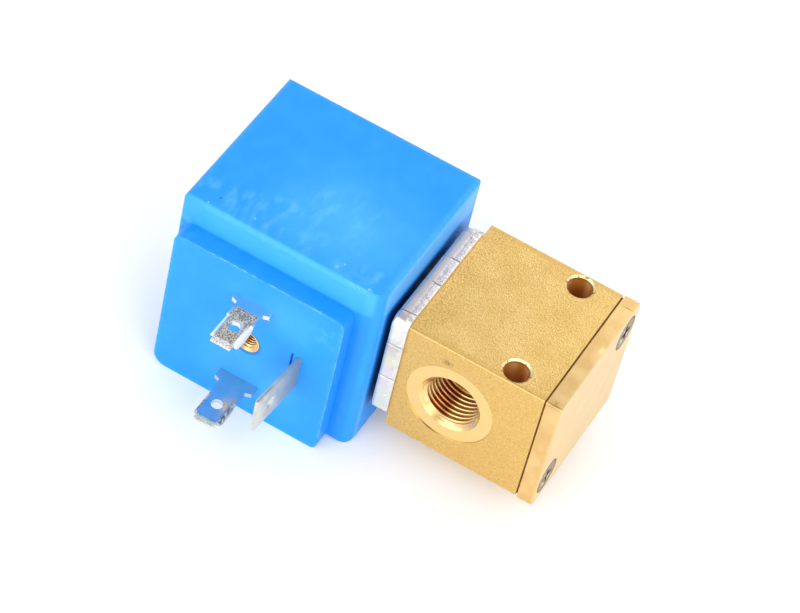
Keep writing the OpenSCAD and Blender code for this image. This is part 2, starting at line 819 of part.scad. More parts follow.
// One line terminal: shouldered blade, detent hole and two bent ears.
module line_blade(side) {
    translate([plug_x, 0, line_z(side)]) {
        difference() {
            extrude_z(-blade_t / 2, blade_t) line_outline();
            translate([0, slab_y - blade_len + blade_hole_inset, -blade_t])
                cylinder(h = 2 * blade_t, d = blade_hole_d, $fn = 48);
        }
        translate([neck_w / 2, 0, 0]) side_ear();
        mirror([1, 0, 0]) translate([neck_w / 2, 0, 0]) side_ear();
    }
}

module line_terminal_upper() {
    color("whitesmoke") line_blade(1);
}

module line_terminal_lower() {
    color("whitesmoke") line_blade(-1);
}

// Bent strip of the earth terminal, seen along z: its foot on the yoke, its
// upright root and its leaning blade.
module earth_strip() {
    x0 = earth_x - blade_t / 2;
    bend_y = slab_y + earth_bend_depth;
    long = earth_len + earth_bend_depth;
    tip = [x0 - long * sin(earth_lean), bend_y - long * cos(earth_lean)];
    polygon([
        [x0, -web_y], [x0, bend_y], tip,
        tip + blade_t * [cos(earth_lean), -sin(earth_lean)],
        [x0 + blade_t, bend_y - blade_t * tan(earth_lean / 2)],
        [x0 + blade_t, -web_y - blade_t], [yoke_x, -web_y - blade_t], [yoke_x, -web_y]
    ]);
}

// Earth terminal: that strip with its hole and its tapered tip.
module earth_sheet() {
    w = blade_w / 2;
    long = earth_len + earth_bend_depth;
    wide = 2 * w - tip_w / 2;
    difference() {
        extrude_z(earth_z - w, blade_w) earth_strip();
        translate([earth_x - blade_t / 2, slab_y + earth_bend_depth, earth_z]) rotate(-earth_lean) {
            translate([-over, earth_hole_inset - long, 0]) rotate([0, 90, 0])
                cylinder(h = blade_t + 2 * over, d = blade_hole_d, $fn = 48);
            for (side = [1, -1]) extrude_x(-over, blade_t + 2 * over) polygon([
                [-long - tip_len, side * (tip_w - w)],
                [2 * tip_len - long, side * wide],
                [-long - tip_len, side * wide]
            ]);
        }
    }
}

module earth_terminal() {
    color("whitesmoke") earth_sheet();
}

// Threaded insert for the plug's central screw.
module connector_insert() {
    mouth_d = insert_thread_d + 2 * insert_chamfer;
    color("gold") translate([plug_x, slab_y + insert_sink, plug_z]) rotate([-90, 0, 0]) difference() {
        cylinder(h = insert_len, d = insert_d);
        translate([0, 0, -over]) cylinder(h = insert_len - insert_floor + over, d = insert_thread_d);
        translate([0, 0, -eps])
            cylinder(h = insert_chamfer + eps, d1 = mouth_d + 2 * eps, d2 = insert_thread_d);
    }
}

module winding_leads() {
    color("peru") difference() {
        for (side = [1, -1]) lead(side);
        rod_x(bobbin_end_x, bobbin_x - bobbin_end_x, winding_d);
    }
}

valve_body();
seat_nozzle();
cover_gasket();
cover_plate();
cover_screws();
tube_o_ring();
armature_tube();
flange_plate();
flange_screws();
fixed_core();
shading_ring();
return_spring();
coil_gasket();
coil_washer();
coil_nut();
armature();
armature_seal();
coil_housing();
coil_bobbin();
copper_winding();
magnet_yoke();
winding_leads();
line_terminal_upper();
line_terminal_lower();
earth_terminal();
connector_insert();
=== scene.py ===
import json
import math

import bmesh
import bpy
import numpy as np
from mathutils import Matrix, Vector

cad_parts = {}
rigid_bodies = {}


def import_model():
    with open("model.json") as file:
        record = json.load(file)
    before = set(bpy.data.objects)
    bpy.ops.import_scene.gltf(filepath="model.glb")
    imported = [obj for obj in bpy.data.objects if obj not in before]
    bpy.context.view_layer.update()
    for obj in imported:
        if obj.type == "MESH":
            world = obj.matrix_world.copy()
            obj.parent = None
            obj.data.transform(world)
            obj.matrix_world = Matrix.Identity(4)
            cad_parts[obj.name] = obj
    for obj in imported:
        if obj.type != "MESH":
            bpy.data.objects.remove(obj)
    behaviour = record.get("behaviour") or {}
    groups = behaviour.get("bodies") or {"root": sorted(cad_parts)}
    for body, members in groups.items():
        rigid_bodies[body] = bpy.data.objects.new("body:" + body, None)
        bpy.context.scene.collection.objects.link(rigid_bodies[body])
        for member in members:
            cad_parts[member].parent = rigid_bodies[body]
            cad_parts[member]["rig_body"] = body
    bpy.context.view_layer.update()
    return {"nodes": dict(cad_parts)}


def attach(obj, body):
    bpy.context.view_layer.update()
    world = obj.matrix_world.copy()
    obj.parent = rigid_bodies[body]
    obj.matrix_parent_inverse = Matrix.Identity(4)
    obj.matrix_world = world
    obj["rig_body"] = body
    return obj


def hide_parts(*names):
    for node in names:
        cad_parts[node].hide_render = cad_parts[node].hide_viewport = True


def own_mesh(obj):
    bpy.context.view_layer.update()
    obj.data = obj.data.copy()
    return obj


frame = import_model()
nodes = frame["nodes"]


# ---- Coil moulding ----
# Block of azure epoxy-filled nylon, cast round the winding in a two-part mould.
# Its faces are slightly cloudy and rubbed pale in places, and the mould left a little flash
# on the edges of the plug slab. Light and shade are painted into its colour as well: lit
# patches, lighter and darker bands by the slab and the plate, highlight on the edges, and
# shade in the crevice round the insert and behind the plate.

def wire(kind, sockets=(), tree=None, **settings):
    """Adds a shader node to the tree given, or else to the one that its sockets come from: a
    socket among the values is linked, and any other value is set."""
    sockets = dict(sockets)
    linked = {key: value for key, value in sockets.items() if isinstance(value, bpy.types.NodeSocket)}
    tree = tree or next(iter(linked.values())).id_data
    node = tree.nodes.new("ShaderNode" + kind)
    for key, value in settings.items():
        setattr(node, key, value)
    for key, value in sockets.items():
        if key in linked:
            tree.links.new(value, node.inputs[key])
        else:
            node.inputs[key].default_value = value
    return node


def calc(operation, *values, clamp=False):
    """One Math node on sockets or numbers, and its output."""
    return wire("Math", dict(enumerate(values)), operation=operation, use_clamp=clamp).outputs[0]


def vector(operation, *values):
    """One Vector Math node, and its output: a number for a length or a dot product."""
    node = wire("VectorMath", dict(enumerate(values)), operation=operation)
    return node.outputs["Value" if operation in ("LENGTH", "DOT_PRODUCT") else "Vector"]


def axes(place):
    """The x, y and z of a place."""
    return wire("SeparateXYZ", {0: place}).outputs


def add(first, second):
    """Sum of two masks or numbers."""
    return calc("ADD", first, second)


def without(mask):
    """1 where a mask is 0, and 0 where it is 1."""
    return calc("SUBTRACT", 1.0, mask)


def both(first, *others):
    """Product of masks."""
    for other in others:
        first = calc("MULTIPLY", first, other)
    return first


def either(first, *others):
    """The largest of some masks."""
    for other in others:
        first = calc("MAXIMUM", first, other)
    return first


def ramp(value, low, high, to_low=0.0, to_high=1.0):
    """Smooth step of value from low to high, put out between to_low and to_high."""
    return wire("MapRange", {0: value, 1: low, 2: high, 3: to_low, 4: to_high},
                interpolation_type="SMOOTHSTEP").outputs[0]


def below(value, low, high):
    """Mask that is 1 where value is under low, and goes smoothly to 0 at high."""
    return ramp(value, low, high, 1.0, 0.0)


def tint(share, first, second):
    """Colour that goes from first to second as share goes from 0 to 1."""
    fill = [c if isinstance(c, bpy.types.NodeSocket) else (*c, 1.0) for c in (first, second)]
    return wire("Mix", {0: share, 6: fill[0], 7: fill[1]}, data_type="RGBA").outputs[2]


def paint(colour, *coats):
    """A colour with coats of others over it, each with masks whose product is how far it covers."""
    for hue, *masks in coats:
        colour = tint(both(*masks), colour, hue)
    return colour


def noise_at(place, size, detail=2.0, rough=0.5):
    """Noise whose blobs are about size across."""
    sockets = {"Vector": place, "Scale": 1.0 / size, "Detail": detail, "Roughness": rough}
    return wire("TexNoise", sockets).outputs["Fac"]


def effect(name, sockets, outputs):
    """An empty node group, its input node and its output node."""
    tree = bpy.data.node_groups.new(name, "ShaderNodeTree")
    for label, value in sockets.items():
        kind = "NodeSocketVector" if isinstance(value, tuple) else "NodeSocketFloat"
        tree.interface.new_socket(label, in_out="INPUT", socket_type=kind).default_value = value
    for label in outputs:
        tree.interface.new_socket(label, in_out="OUTPUT", socket_type="NodeSocketFloat")
    return tree, tree.nodes.new("NodeGroupInput").outputs, tree.nodes.new("NodeGroupOutput").inputs


# Soft clouds: fractal noise of a given size, stepped between two levels.
clouds, g_in, g_out = effect("soft_clouds", {"Vector": (0.0, 0.0, 0.0), "Size": 10.0, "Low": 0.4,
                                             "High": 0.6, "Detail": 3.0}, ["Mask"])
cloud = wire("TexNoise", {"Vector": g_in["Vector"], "Detail": g_in["Detail"],
                          "Scale": calc("DIVIDE", 1.0, g_in["Size"])})
clouds.links.new(ramp(cloud.outputs["Fac"], g_in["Low"], g_in["High"]), g_out["Mask"])

# Grain: rounded cells with fine noise over them, as a height and as a mask of pits.
grain, g_in, g_out = effect("fine_grain", {"Vector": (0.0, 0.0, 0.0), "Size": 0.3}, ["Height", "Pits"])
per_size = calc("DIVIDE", 1.0, g_in["Size"])
cells = wire("TexVoronoi", {"Vector": g_in["Vector"], "Smoothness": 0.6, "Scale": per_size},
             feature="SMOOTH_F1")
fuzz = wire("TexNoise", {"Vector": g_in["Vector"], "Scale": per_size, "Detail": 3.0, "Roughness": 0.6})
fuzz = fuzz.outputs["Fac"]
bumps = add(calc("MULTIPLY", cells.outputs["Distance"], 0.6), fuzz)
grain.links.new(bumps, g_out["Height"])
grain.links.new(ramp(fuzz, 0.5, 0.66), g_out["Pits"])

# Patch: 1 at a centre, and smoothly 0 at its reach.
patch, g_in, g_out = effect("local_patch", {"Vector": (0.0, 0.0, 0.0), "Centre": (0.0, 0.0, 0.0),
                                            "Spread": (1.0, 1.0, 1.0), "Reach": 10.0}, ["Mask"])
away = vector("DIVIDE", vector("SUBTRACT", g_in["Vector"], g_in["Centre"]), g_in["Spread"])
away = calc("DIVIDE", vector("LENGTH", away), g_in["Reach"])
patch.links.new(below(away, 0.0, 1.0), g_out["Mask"])

# Band along the edges of a block: 1 where two of its three faces are nearer than Width, broken up by ragged
# noise.
edge_band, g_in, g_out = effect("edge_band_mask", {"Vector": (0.0, 0.0, 0.0), "Centre": (0.0, 0.0, 0.0),
                                              "Half": (10.0, 10.0, 10.0), "Width": 1.0}, ["Mask"])
inside = vector("ABSOLUTE", vector("SUBTRACT", g_in["Vector"], g_in["Centre"]))
inside = axes(vector("SUBTRACT", g_in["Half"], inside))
near = [below(calc("DIVIDE", side, g_in["Width"]), 0.0, 1.0) for side in inside]
edge_mask = either(*[both(near[i], near[(i + 1) % 3]) for i in range(3)])
ragged = ramp(noise_at(g_in["Vector"], 0.8, 3.0, 0.6), 0.3, 0.62)
edge_band.links.new(both(edge_mask, ragged), g_out["Mask"])


def use(group, *values):
    """A group fed with values in the order of its inputs, and its outputs."""
    return wire("Group", dict(enumerate(values)), node_tree=group).outputs


def blobs(place, size, low, high, detail=3.0):
    """Mask of soft clouds of a size."""
    return use(clouds, place, size, low, high, detail)[0]


def spots(place, *specs):
    """Mask of some soft spots. Each has its centre, its spread along x, y and z, and its reach, which
    the spread multiplies."""
    return either(*[use(patch, place, *spec)[0] for spec in specs])


def off_line(place, centre, across):
    """Distance of a place from the line through centre; across is 1 on the axes it is measured on."""
    return vector("LENGTH", vector("MULTIPLY", vector("SUBTRACT", place, centre), across))


def start_finish(name, **constants):
    """A new material, its Principled shader and its Object coordinates in millimetres."""
    material = bpy.data.materials.new(name)
    material.use_nodes = True
    shader = material.node_tree.nodes["Principled BSDF"]
    for label, value in constants.items():
        shader.inputs[label].default_value = value
    place = wire("TexCoord", tree=material.node_tree).outputs["Object"]
    return material, shader, wire("VectorMath", {0: place, "Scale": 1000.0}, operation="SCALE").outputs[0]


def end_finish(shader, colour, roughness, height, depth, metallic=None):
    """Feeds the shader: colour, roughness, perhaps metallic, and a bump of height times depth in mm."""
    relief = wire("Bump", {"Height": height, "Distance": depth * 0.001}).outputs[0]
    feeds = {"Base Color": colour, "Roughness": roughness, "Normal": relief, "Metallic": metallic}
    for label, value in feeds.items():
        if value:
            shader.id_data.links.new(value, shader.inputs[label])


def dress(material, *names):
    """Gives some CAD nodes this material instead of their plain ones."""
    for name in names:
        nodes[name].data.materials.clear()
        nodes[name].data.materials.append(material)


coil_front, coil_top, slab_y = -16.15, 17.4, -19.45
plug_x, plug_z = -40.1, -2.7
even = (1.0, 1.0, 1.0)

blue, shader, place = start_finish("azure_moulding", **{"Specular IOR Level": 0.35})
wide = blobs(place, 14.0, 0.34, 0.66)
small = blobs(place, 3.6, 0.4, 0.74, 4.0)
slanted = wire("Mapping", {"Vector": place, "Rotation": (0, 0, 0.6), "Scale": (1, 0.45, 1)}).outputs[0]
scuff = blobs(slanted, 1.5, 0.42, 0.76, 6.0)
worn = spots(place, ((-45.0, -12.0, coil_top), (1.3, 0.6, 1), 9.0),
             ((-37.5, -11.0, coil_top), (1.2, 0.9, 1), 7.5), ((-35.0, -5.0, coil_top), (1, 0.8, 1), 10.0),
             ((-28.0, -12.5, coil_top), (1.4, 0.6, 1), 7.0), ((-42.0, -9.0, coil_top), (1.2, 0.5, 1), 6.0),
             ((-52.0, -12.5, coil_top), (1, 0.5, 1), 6.0), ((-27.5, slab_y, 8.0), even, 3.5),
             ((-55.5, -15.5, 11.0), even, 6.0))
worn = both(scuff, calc("ADD", both(worn, 1.4), 0.08, clamp=True))
# Painted light: paler patches where the top and the slab's face are lit most; outside them the base colour is
# darker.
painted_light_patches = spots(place, ((-34.0, -6.0, coil_top), (1.5, 1.2, 0.5), 13.0), ((-38.5, slab_y, -8.0), even, 13.0),
              ((-36.5, slab_y, 6.5), (1.5, 1.0, 0.9), 8.0))
x, y, z = axes(place)
on_slab = below(y, coil_front - 0.3, coil_front - 0.1)
# Pale edges: rubbed wear, with a painted highlight that is weak along the front and full towards the back.
block_edge_band = use(edge_band, place, (-38.8, -0.3, -0.3), (17.6, 15.85, 17.7), 1.6)[0]
slab_edge_band = use(edge_band, place, (-40.15, -14.45, -3.0), (15.05, 5.0, 15.0), 0.7)[0]
edges = either(both(block_edge_band, ramp(y, -15.0, -12.0, 0.25, 1.0)), both(slab_edge_band, on_slab))
# On the right face by the plate: painted shade behind the plate, and a painted light band above and in front
# of it.
on_right = ramp(x, -21.5, -21.3)
shade_behind_plate = both(on_right, ramp(y, -13.4, -11.4), below(y, 0.0, 10.0),
                    below(calc("ABSOLUTE", z), 10.0, 11.8))
light_beside_plate = both(on_right, either(ramp(z, 11.0, 12.6), ramp(y, -13.0, -14.0, 0.0, 0.6)),
                    ramp(z, 16.2, coil_top, 1.0, 0.35))
# On the front face: a painted light band above the slab and painted shade beside its right side.
on_front = below(y, -15.9, -15.4)
shade_beside_slab = both(ramp(x, -26.5, -23.5), on_front, below(z, 8.0, 16.8))
light_above_slab = both(on_front, ramp(z, 11.9, 12.6), ramp(x, -56.0, -50.0, 0.5, 1.0))
crumb = spots(place, ((-30.4, -14.6, coil_top), even, 0.6), ((-29.7, -13.6, coil_top), even, 0.5),
              ((-24.1, -15.4, coil_top), even, 0.6), ((-52.5, -15.6, coil_top), (0.4, 1, 1), 0.7),
              ((-38.2, -6.2, coil_top), (1, 0.5, 1), 0.5), ((-45.2, -13.9, coil_top), even, 0.4),
              ((-26.0, -15.9, coil_top), (3.4, 0.35, 1), 0.9))
crumb = both(crumb, ramp(noise_at(place, 0.3, 3.0), 0.45, 0.6))
# Painted shade in the crevice round the insert; the dark coat also takes a dark speck on the top and the
# painted shade behind the plate.
off_insert = off_line(place, (plug_x, 0.0, plug_z), (1, 0, 1))
crevice_shade = both(ramp(off_insert, 2.36, 2.46), below(off_insert, 2.5, 2.72), on_slab)
speck = spots(place, ((-51.5, -13.6, coil_top), even, 0.35))
speck_and_shade = either(both(crevice_shade, 0.3), both(speck, 0.7), both(shade_behind_plate, 0.85))
colour = paint(tint(both(painted_light_patches, add(both(wide, 0.45), 0.55)), (0.007, 0.292, 0.93), (0.052, 0.405, 0.97)),
               ((0.05, 0.42, 0.98), small, 0.15), ((0.055, 0.42, 0.98), light_above_slab, 0.9),
               ((0.004, 0.245, 0.86), shade_beside_slab, 0.75), ((0.14, 0.475, 0.97), light_beside_plate, 0.8),
               ((0.15, 0.56, 0.96), worn, 0.42), ((0.1, 0.5, 0.96), edges, 0.3),
               ((0.33, 0.74, 0.98), crumb, 0.75), ((0.002, 0.05, 0.2), speck_and_shade))
dull = add(0.42, both(add(worn, small), 0.12))
swell = both(noise_at(place, 9.0, 2.0, 0.45), 3.0)
skin = both(noise_at(place, 1.1, 4.0, 0.6), 0.1)
end_finish(shader, colour, dull, add(add(swell, skin), both(crumb, 0.3)), 0.06)
dress(blue, "coil_housing")


def added(name, data):
    """A new object with this data, in the scene."""
    made = bpy.data.objects.new(name, data)
    bpy.context.scene.collection.objects.link(made)
    return made


def piece(name, verts, faces, material, body, slot, smooth=35):
    """Object of a mesh in millimetres: doubles merged, faces turned outwards, shaded smooth
    except over edges sharper than smooth degrees, riding on a body."""
    mesh = bpy.data.meshes.new(name)
    mesh.from_pydata((np.asarray(verts, float) * 0.001).tolist(), [], faces)
    work = bmesh.new()
    work.from_mesh(mesh)
    bmesh.ops.remove_doubles(work, verts=work.verts, dist=2e-7)
    bmesh.ops.dissolve_degenerate(work, edges=work.edges, dist=1e-7)
    bmesh.ops.recalc_face_normals(work, faces=work.faces)
    work.to_mesh(mesh)
    work.free()
    mesh.polygons.foreach_set("use_smooth", np.ones(len(mesh.polygons), bool))
    mesh.set_sharp_from_angle(angle=math.radians(smooth))
    mesh.materials.append(material)
    made = added(name, mesh)
    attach(made, body)
    return made


def surface(name, points, material, body, slot, loop=False, ends=False, smooth=35):
    """Mesh of a grid points[u, v] in millimetres. Quads join each point to the next in u and v and
    the last in v to the first. loop joins the last row to the first as well, and ends closes
    the first and last row with a fan to its mean."""
    points = np.asarray(points, float)
    rows, cols = points.shape[:2]
    index = np.arange(rows * cols).reshape(rows, cols)
    full = np.vstack([index, index[:1]]) if loop else index
    full = np.hstack([full, full[:, :1]])
    quads = np.stack([full[:-1, :-1], full[:-1, 1:], full[1:, 1:], full[1:, :-1]], -1).reshape(-1, 4)
    verts, faces = points.reshape(-1, 3), quads.tolist()
    if ends:
        verts = np.vstack([verts, points[0].mean(0), points[-1].mean(0)])
        for row, hub in ((index[0], rows * cols), (index[-1][::-1], rows * cols + 1)):
            faces += np.stack([row, np.full(cols, hub), np.roll(row, -1)], -1).tolist()
    return piece(name, verts, faces, material, body, slot, smooth)


def resample(path, step=0.0, count=0):
    """Points evenly along a polyline: count of them, or about one every step."""
    path = np.asarray(path, float)
    run = np.r_[0.0, np.cumsum(np.linalg.norm(np.diff(path, axis=0), axis=1))]
    at = np.linspace(0.0, run[-1], count or max(int(run[-1] / step), 4))
    return np.stack([np.interp(at, run, column) for column in path.T], -1)


chance = np.random.default_rng(7)


def unit(direction):
    """A direction, or rows of directions, of length 1."""
    direction = np.asarray(direction, float)
    return direction / np.linalg.norm(direction, axis=-1, keepdims=True)


def ragged_ridge(path, out, width, height, step=0.12, jitter=0.5):
    """Grid of a ridge along a path: at each point an ellipse width wide and height high, both
    scaled by smoothed noise and drawn to nothing at the two ends. out is the way it stands."""
    line = resample(path, step)
    count = len(line)
    out = np.broadcast_to(unit(out), line.shape)
    side = np.cross(unit(np.gradient(line, axis=0)), out)
    rough = np.convolve(chance.normal(size=count + 6), np.ones(7) / 7 * 2.2, "valid")
    scale = np.clip(1.0 + jitter * rough, 0.25, 2.2)
    scale *= np.sin(np.linspace(0.02, np.pi - 0.02, count)) ** 0.35
    scale, turn = scale[:, None, None], np.linspace(0.0, 2 * np.pi, 11)[None, :-1, None]
    return (line[:, None] + scale * width / 2 * np.cos(turn) * side[:, None]
            + scale * height * np.sin(turn) * out[:, None])


flash, shader, place = start_finish("azure_flash", **{"Specular IOR Level": 0.35})
thin = blobs(place, 1.2, 0.4, 0.62)
end_finish(shader, tint(thin, (0.022, 0.34, 0.93), (0.13, 0.52, 0.97)),
           add(0.42, both(thin, 0.15)), noise_at(place, 0.3, 3.0), 0.03)

flash_y = slab_y + 0.02
ridges = {
    "coil_flash_top": ([(-53.6, flash_y, 11.97), (-26.6, flash_y, 11.97)], (0, -0.5, 1), 0.16, 0.07),
    "coil_flash_corner": ([(-26.5, flash_y, 11.98), (-25.7, flash_y, 11.5), (-25.15, flash_y, 10.6)],
                          (1, -0.6, 1), 0.2, 0.09),
    "coil_flash_side": ([(-25.12, flash_y, 10.4), (-25.12, flash_y, -16.2)], (1, -0.5, 0), 0.15, 0.06),
    "coil_parting_top": ([(-29.0, -15.35, 17.2), (-27.4, -15.5, 17.1), (-25.6, -15.55, 17.06),
                          (-24.4, -15.5, 17.05)], (0, -0.5, 1), 0.22, 0.05),
}
for name, (path, out, width, height) in ridges.items():
    ridge = ragged_ridge(path, out, width, height)
    surface(name, ridge, flash, "coil", "blue_moulding", ends=True)


def flake(centre, out, size):
    """Grid of a flat chip: a sphere with its radius roughened by noise, pressed to a third
    along the way it stands."""
    out = unit(out)
    across = unit(np.cross(out, (0.31, 0.87, 0.39)))
    lift = np.linspace(0.0, np.pi, 7)[:, None, None]
    turn = np.linspace(0.0, 2 * np.pi, 11)[None, :-1, None]
    radius = size / 2 * (1.0 + 0.35 * chance.normal(size=(7, 10, 1)).clip(-1.4, 1.4))
    radius[[0, -1]] = size / 2
    return (centre + radius * np.sin(lift) * (np.cos(turn) * across + np.sin(turn) * np.cross(out, across))
            + 0.33 * radius * np.cos(lift) * out)


chips = [((-23.9, -15.5, 17.0), (0, -1, 2), 0.4), ((-23.5, -15.75, 16.75), (0, -1, 1), 0.3),
         ((-29.3, -19.4, 12.0), (0, -1, 1), 0.45), ((-28.8, -19.4, 12.0), (0, -1, 1), 0.3),
         ((-46.4, -19.42, 11.9), (0, -1, 1), 0.26), ((-31.6, slab_y, -9.2), (0, -1, 0), 0.3),
         ((-27.9, slab_y, -7.6), (0, -1, 0), 0.24), ((-36.2, -15.75, 16.9), (0, -1, 2), 0.22)]
for number, (centre, out, size) in enumerate(chips):
    chip = flake(centre, out, size)
    surface(f"coil_chip_{number}", chip, flash, "coil", "blue_moulding", smooth=60)


# ---- Line and earth terminals ----
# Three tabs stamped from tinned brass sheet and moulded into the slab. The two line
# tabs have a narrowed neck, two ears folded down beside it and a bevelled tip, and
# the earth tab stands across them and leans a little.

root_y, blade_t, blade_wide, neck_wide, tip_wide, bevel_long = -14.45, 0.8, 6.7, 4.7, 3.4, 0.8
line_free, line_hole, upper_in = 10.9, 4.2, 0.6
ear_from, ear_long, ear_drop, ear_thick, fold_r = 1.2, 4.6, 0.7, 0.55, 0.7
line_long, tip_y = root_y - slab_y + line_free, slab_y - line_free
ear_root = ear_from + ear_long

tin, shader, place = start_finish("tin_plate")
x, y, z = axes(place)
y = calc("SUBTRACT", y, ramp(z, -3.0, 0.0, 0.0, upper_in))
spangle = use(grain, place, 0.24)
speckle = ramp(noise_at(place, 0.2, 4.0, 0.7), 0.42, 0.58)
dull = blobs(place, 2.0, 0.4, 0.65)
off_middle = calc("ABSOLUTE", calc("SUBTRACT", x, plug_x))
by_ears = below(y, tip_y + ear_root - 0.3, tip_y + ear_root + 0.3)
flat_top = below(add(off_middle, both(by_ears, 0.4)), 1.9, 2.1)
on_tab = wire("CombineXYZ", {0: x, 1: y, 2: z}).outputs[0]
hole_burr = off_line(on_tab, (plug_x + 0.1, tip_y + line_hole + 0.2, 0.0), (1, 1, 0))
bevel = below(y, tip_y + bevel_long + 0.05, tip_y + bevel_long + 0.15)
etched = both(flat_top, ramp(z, 6.5, 6.62), below(y, -22.6, -22.1), ramp(hole_burr, 1.08, 1.25),
              without(bevel))
bent = both(ramp(off_middle, 1.82, 1.92), below(off_middle, 2.3, 2.6), by_ears)
# The two line tabs are alike; the lower one is painted in shade: darker bluish grey, with dark mottled ears
# and a duller bevel. The upper one's near-white ears are a painted highlight.
lower = below(z, -8.0, -6.0)
shaded_ear_mottle = tint(blobs(place, 0.7, 0.44, 0.56), (0.16, 0.17, 0.17), (0.5, 0.52, 0.52))
colour = paint(tint(dull, (0.8, 0.79, 0.77), (0.9, 0.89, 0.87)), ((0.42, 0.47, 0.52), lower, 0.55),
               (tint(lower, (0.93, 0.91, 0.87), shaded_ear_mottle), bent),
               (tint(lower, (0.97, 0.96, 0.93), (0.8, 0.82, 0.7)), bevel),
               ((0.26, 0.24, 0.18), bevel, ramp(speckle, 0.6, 1.0), 0.7),
               (tint(speckle, (0.76, 0.69, 0.56), (0.17, 0.14, 0.09)), etched))
roughness = add(0.21, add(both(either(etched, bevel, bent), 0.2), both(dull, 0.06)))
height = both(spangle["Height"], add(either(etched, both(bevel, 0.7)), 0.04))
metal = without(either(both(bent, 0.7), both(etched, 0.6)))
end_finish(shader, colour, roughness, height, 0.09, metal)


def grid(*values):
    """Points whose coordinates are these values, broadcast together."""
    return np.stack(np.broadcast_arrays(*values), -1)


def joined(index):
    """Quads that join each entry of a grid of point numbers to the next in both directions."""
    return np.stack([index[:-1, :-1], index[1:, :-1], index[1:, 1:], index[:-1, 1:]], -1)


def holed_sheet(runs, half, hole, radius, square):
    """Flat sheet with a round hole, as (points in (run, across), quads). The sheet is a grid of
    the runs by shares of its half width. The cells of a square round the hole give way to rings
    that go from the square's rim to the circle."""
    fine = np.linspace(-1.0, 1.0, 9)
    runs = np.unique(np.round(np.r_[runs, hole - square, hole + square, hole + square * fine], 5))
    widths = half(runs)
    inner = square / np.interp(hole, runs, widths)
    coarse = np.linspace(-1.0, 1.0, 17)
    shares = np.unique(np.round(np.r_[coarse[np.abs(coarse) > inner + 0.02], inner * fine], 6))
    flat = grid(np.repeat(runs, len(shares)), (widths[:, None] * shares).ravel())
    index = np.arange(len(flat)).reshape(len(runs), -1)
    mid_run, mid_share = (runs[:-1] + runs[1:]) / 2, (shares[:-1] + shares[1:]) / 2
    keep = ~((np.abs(mid_run - hole) < square)[:, None] & (np.abs(mid_share) < inner)[None])
    r = np.flatnonzero(np.abs(runs - hole) < square + 1e-4)
    c = np.flatnonzero(np.abs(shares) < inner + 1e-4)
    rim = np.r_[index[r[0], c[:-1]], index[r[:-1], c[-1]], index[r[-1], c[:0:-1]], index[r[:0:-1], c[0]]]
    spoke = flat[rim] - (hole, 0.0)
    circle = radius * unit(spoke)
    rings = np.vstack([spoke * (1 - t) + circle * t for t in (0.45, 0.8, 1.0)]) + (hole, 0.0)
    rows = np.vstack([rim, len(flat) + np.arange(len(rings)).reshape(3, -1)])
    round_hole = joined(np.hstack([rows, rows[:, :1]])).reshape(-1, 4)
    return np.vstack([flat, rings]), np.vstack([joined(index)[keep], round_hole])


def thicken(flat, quads, place_at):
    """Closed solid of a flat sheet: place_at(flat, side) gives the points of its upper side, 1, and
    lower side, -1, and a wall of quads joins them along every edge that only one quad has."""
    count = len(flat)
    borders = np.stack([quads, np.roll(quads, -1, 1)], -1).reshape(-1, 2)
    _, first, uses = np.unique(np.sort(borders, 1), axis=0, return_index=True, return_counts=True)
    rim = borders[first[uses == 1]]
    wall = np.hstack([rim, rim[:, ::-1] + count])
    verts = np.vstack([place_at(flat, 1.0), place_at(flat, -1.0)])
    return verts, np.vstack([quads[:, ::-1], quads + count, wall]).tolist()


def round_over(made, width, segments=2, angle=32):
    """A narrow rounding on every edge of a piece that is sharper than angle degrees."""
    finish = made.modifiers.new("round_over", "BEVEL")
    finish.width, finish.segments = width * 0.001, segments
    finish.limit_method, finish.angle_limit = "ANGLE", math.radians(angle)
    return finish


def line_half(run):
    """Half width of a line tab at a distance from its root: full at the shoulders, narrow at the
    neck, narrower still between the ears, and tapered at the tip."""
    shoulder, neck, full = line_free - 1.8, neck_wide / 2, blade_wide / 2
    waist = neck - 0.62
    knots = [0.0, 1.1, ear_root - 0.12, ear_root, shoulder - 0.35, shoulder]
    return np.interp(line_long - run, knots, [tip_wide / 2, waist, waist, neck, neck, full])


def tab_half_t(left):
    """Half thickness of a tab at a distance from its tip: it thins evenly over the bevel."""
    return blade_t / 2 * np.interp(left, [0.0, bevel_long], [0.42, 1.0])


def folded_ear(side, level, set_in):
    """Grid of one ear, along the tab and round its section. The section turns a quarter circle from
    the tab's upper face down to a straight drop, which goes with sqrt(1.55 - 0.98 run^2) - sqrt(0.57)
    as run goes from -1 to 1 along the ear, so that its lower edge is an arc."""
    run, share = np.linspace(-1.0, 1.0, 25)[:, None], np.linspace(0.0, 1.0, 19)
    deep = np.sqrt(1.55 - 0.98 * run ** 2) - np.sqrt(0.57)
    drop = (0.9 * ear_drop * deep / deep.max() + 0.12) * np.clip(2 * share - 1, 0, 1)
    bend = np.clip(2 * share, 0, 1) * np.pi / 2
    along = tip_y + set_in + ear_from + (1 - run) * ear_long / 2
    walls = []
    for radius in (fold_r, fold_r - ear_thick):
        across = neck_wide / 2 - fold_r + radius * np.sin(bend)
        rise = blade_t / 2 - fold_r + radius * np.cos(bend) - drop
        walls.append(grid(plug_x + side * across, along, level + rise))
    return np.concatenate([walls[0], walls[1][:, ::-1]], 1)


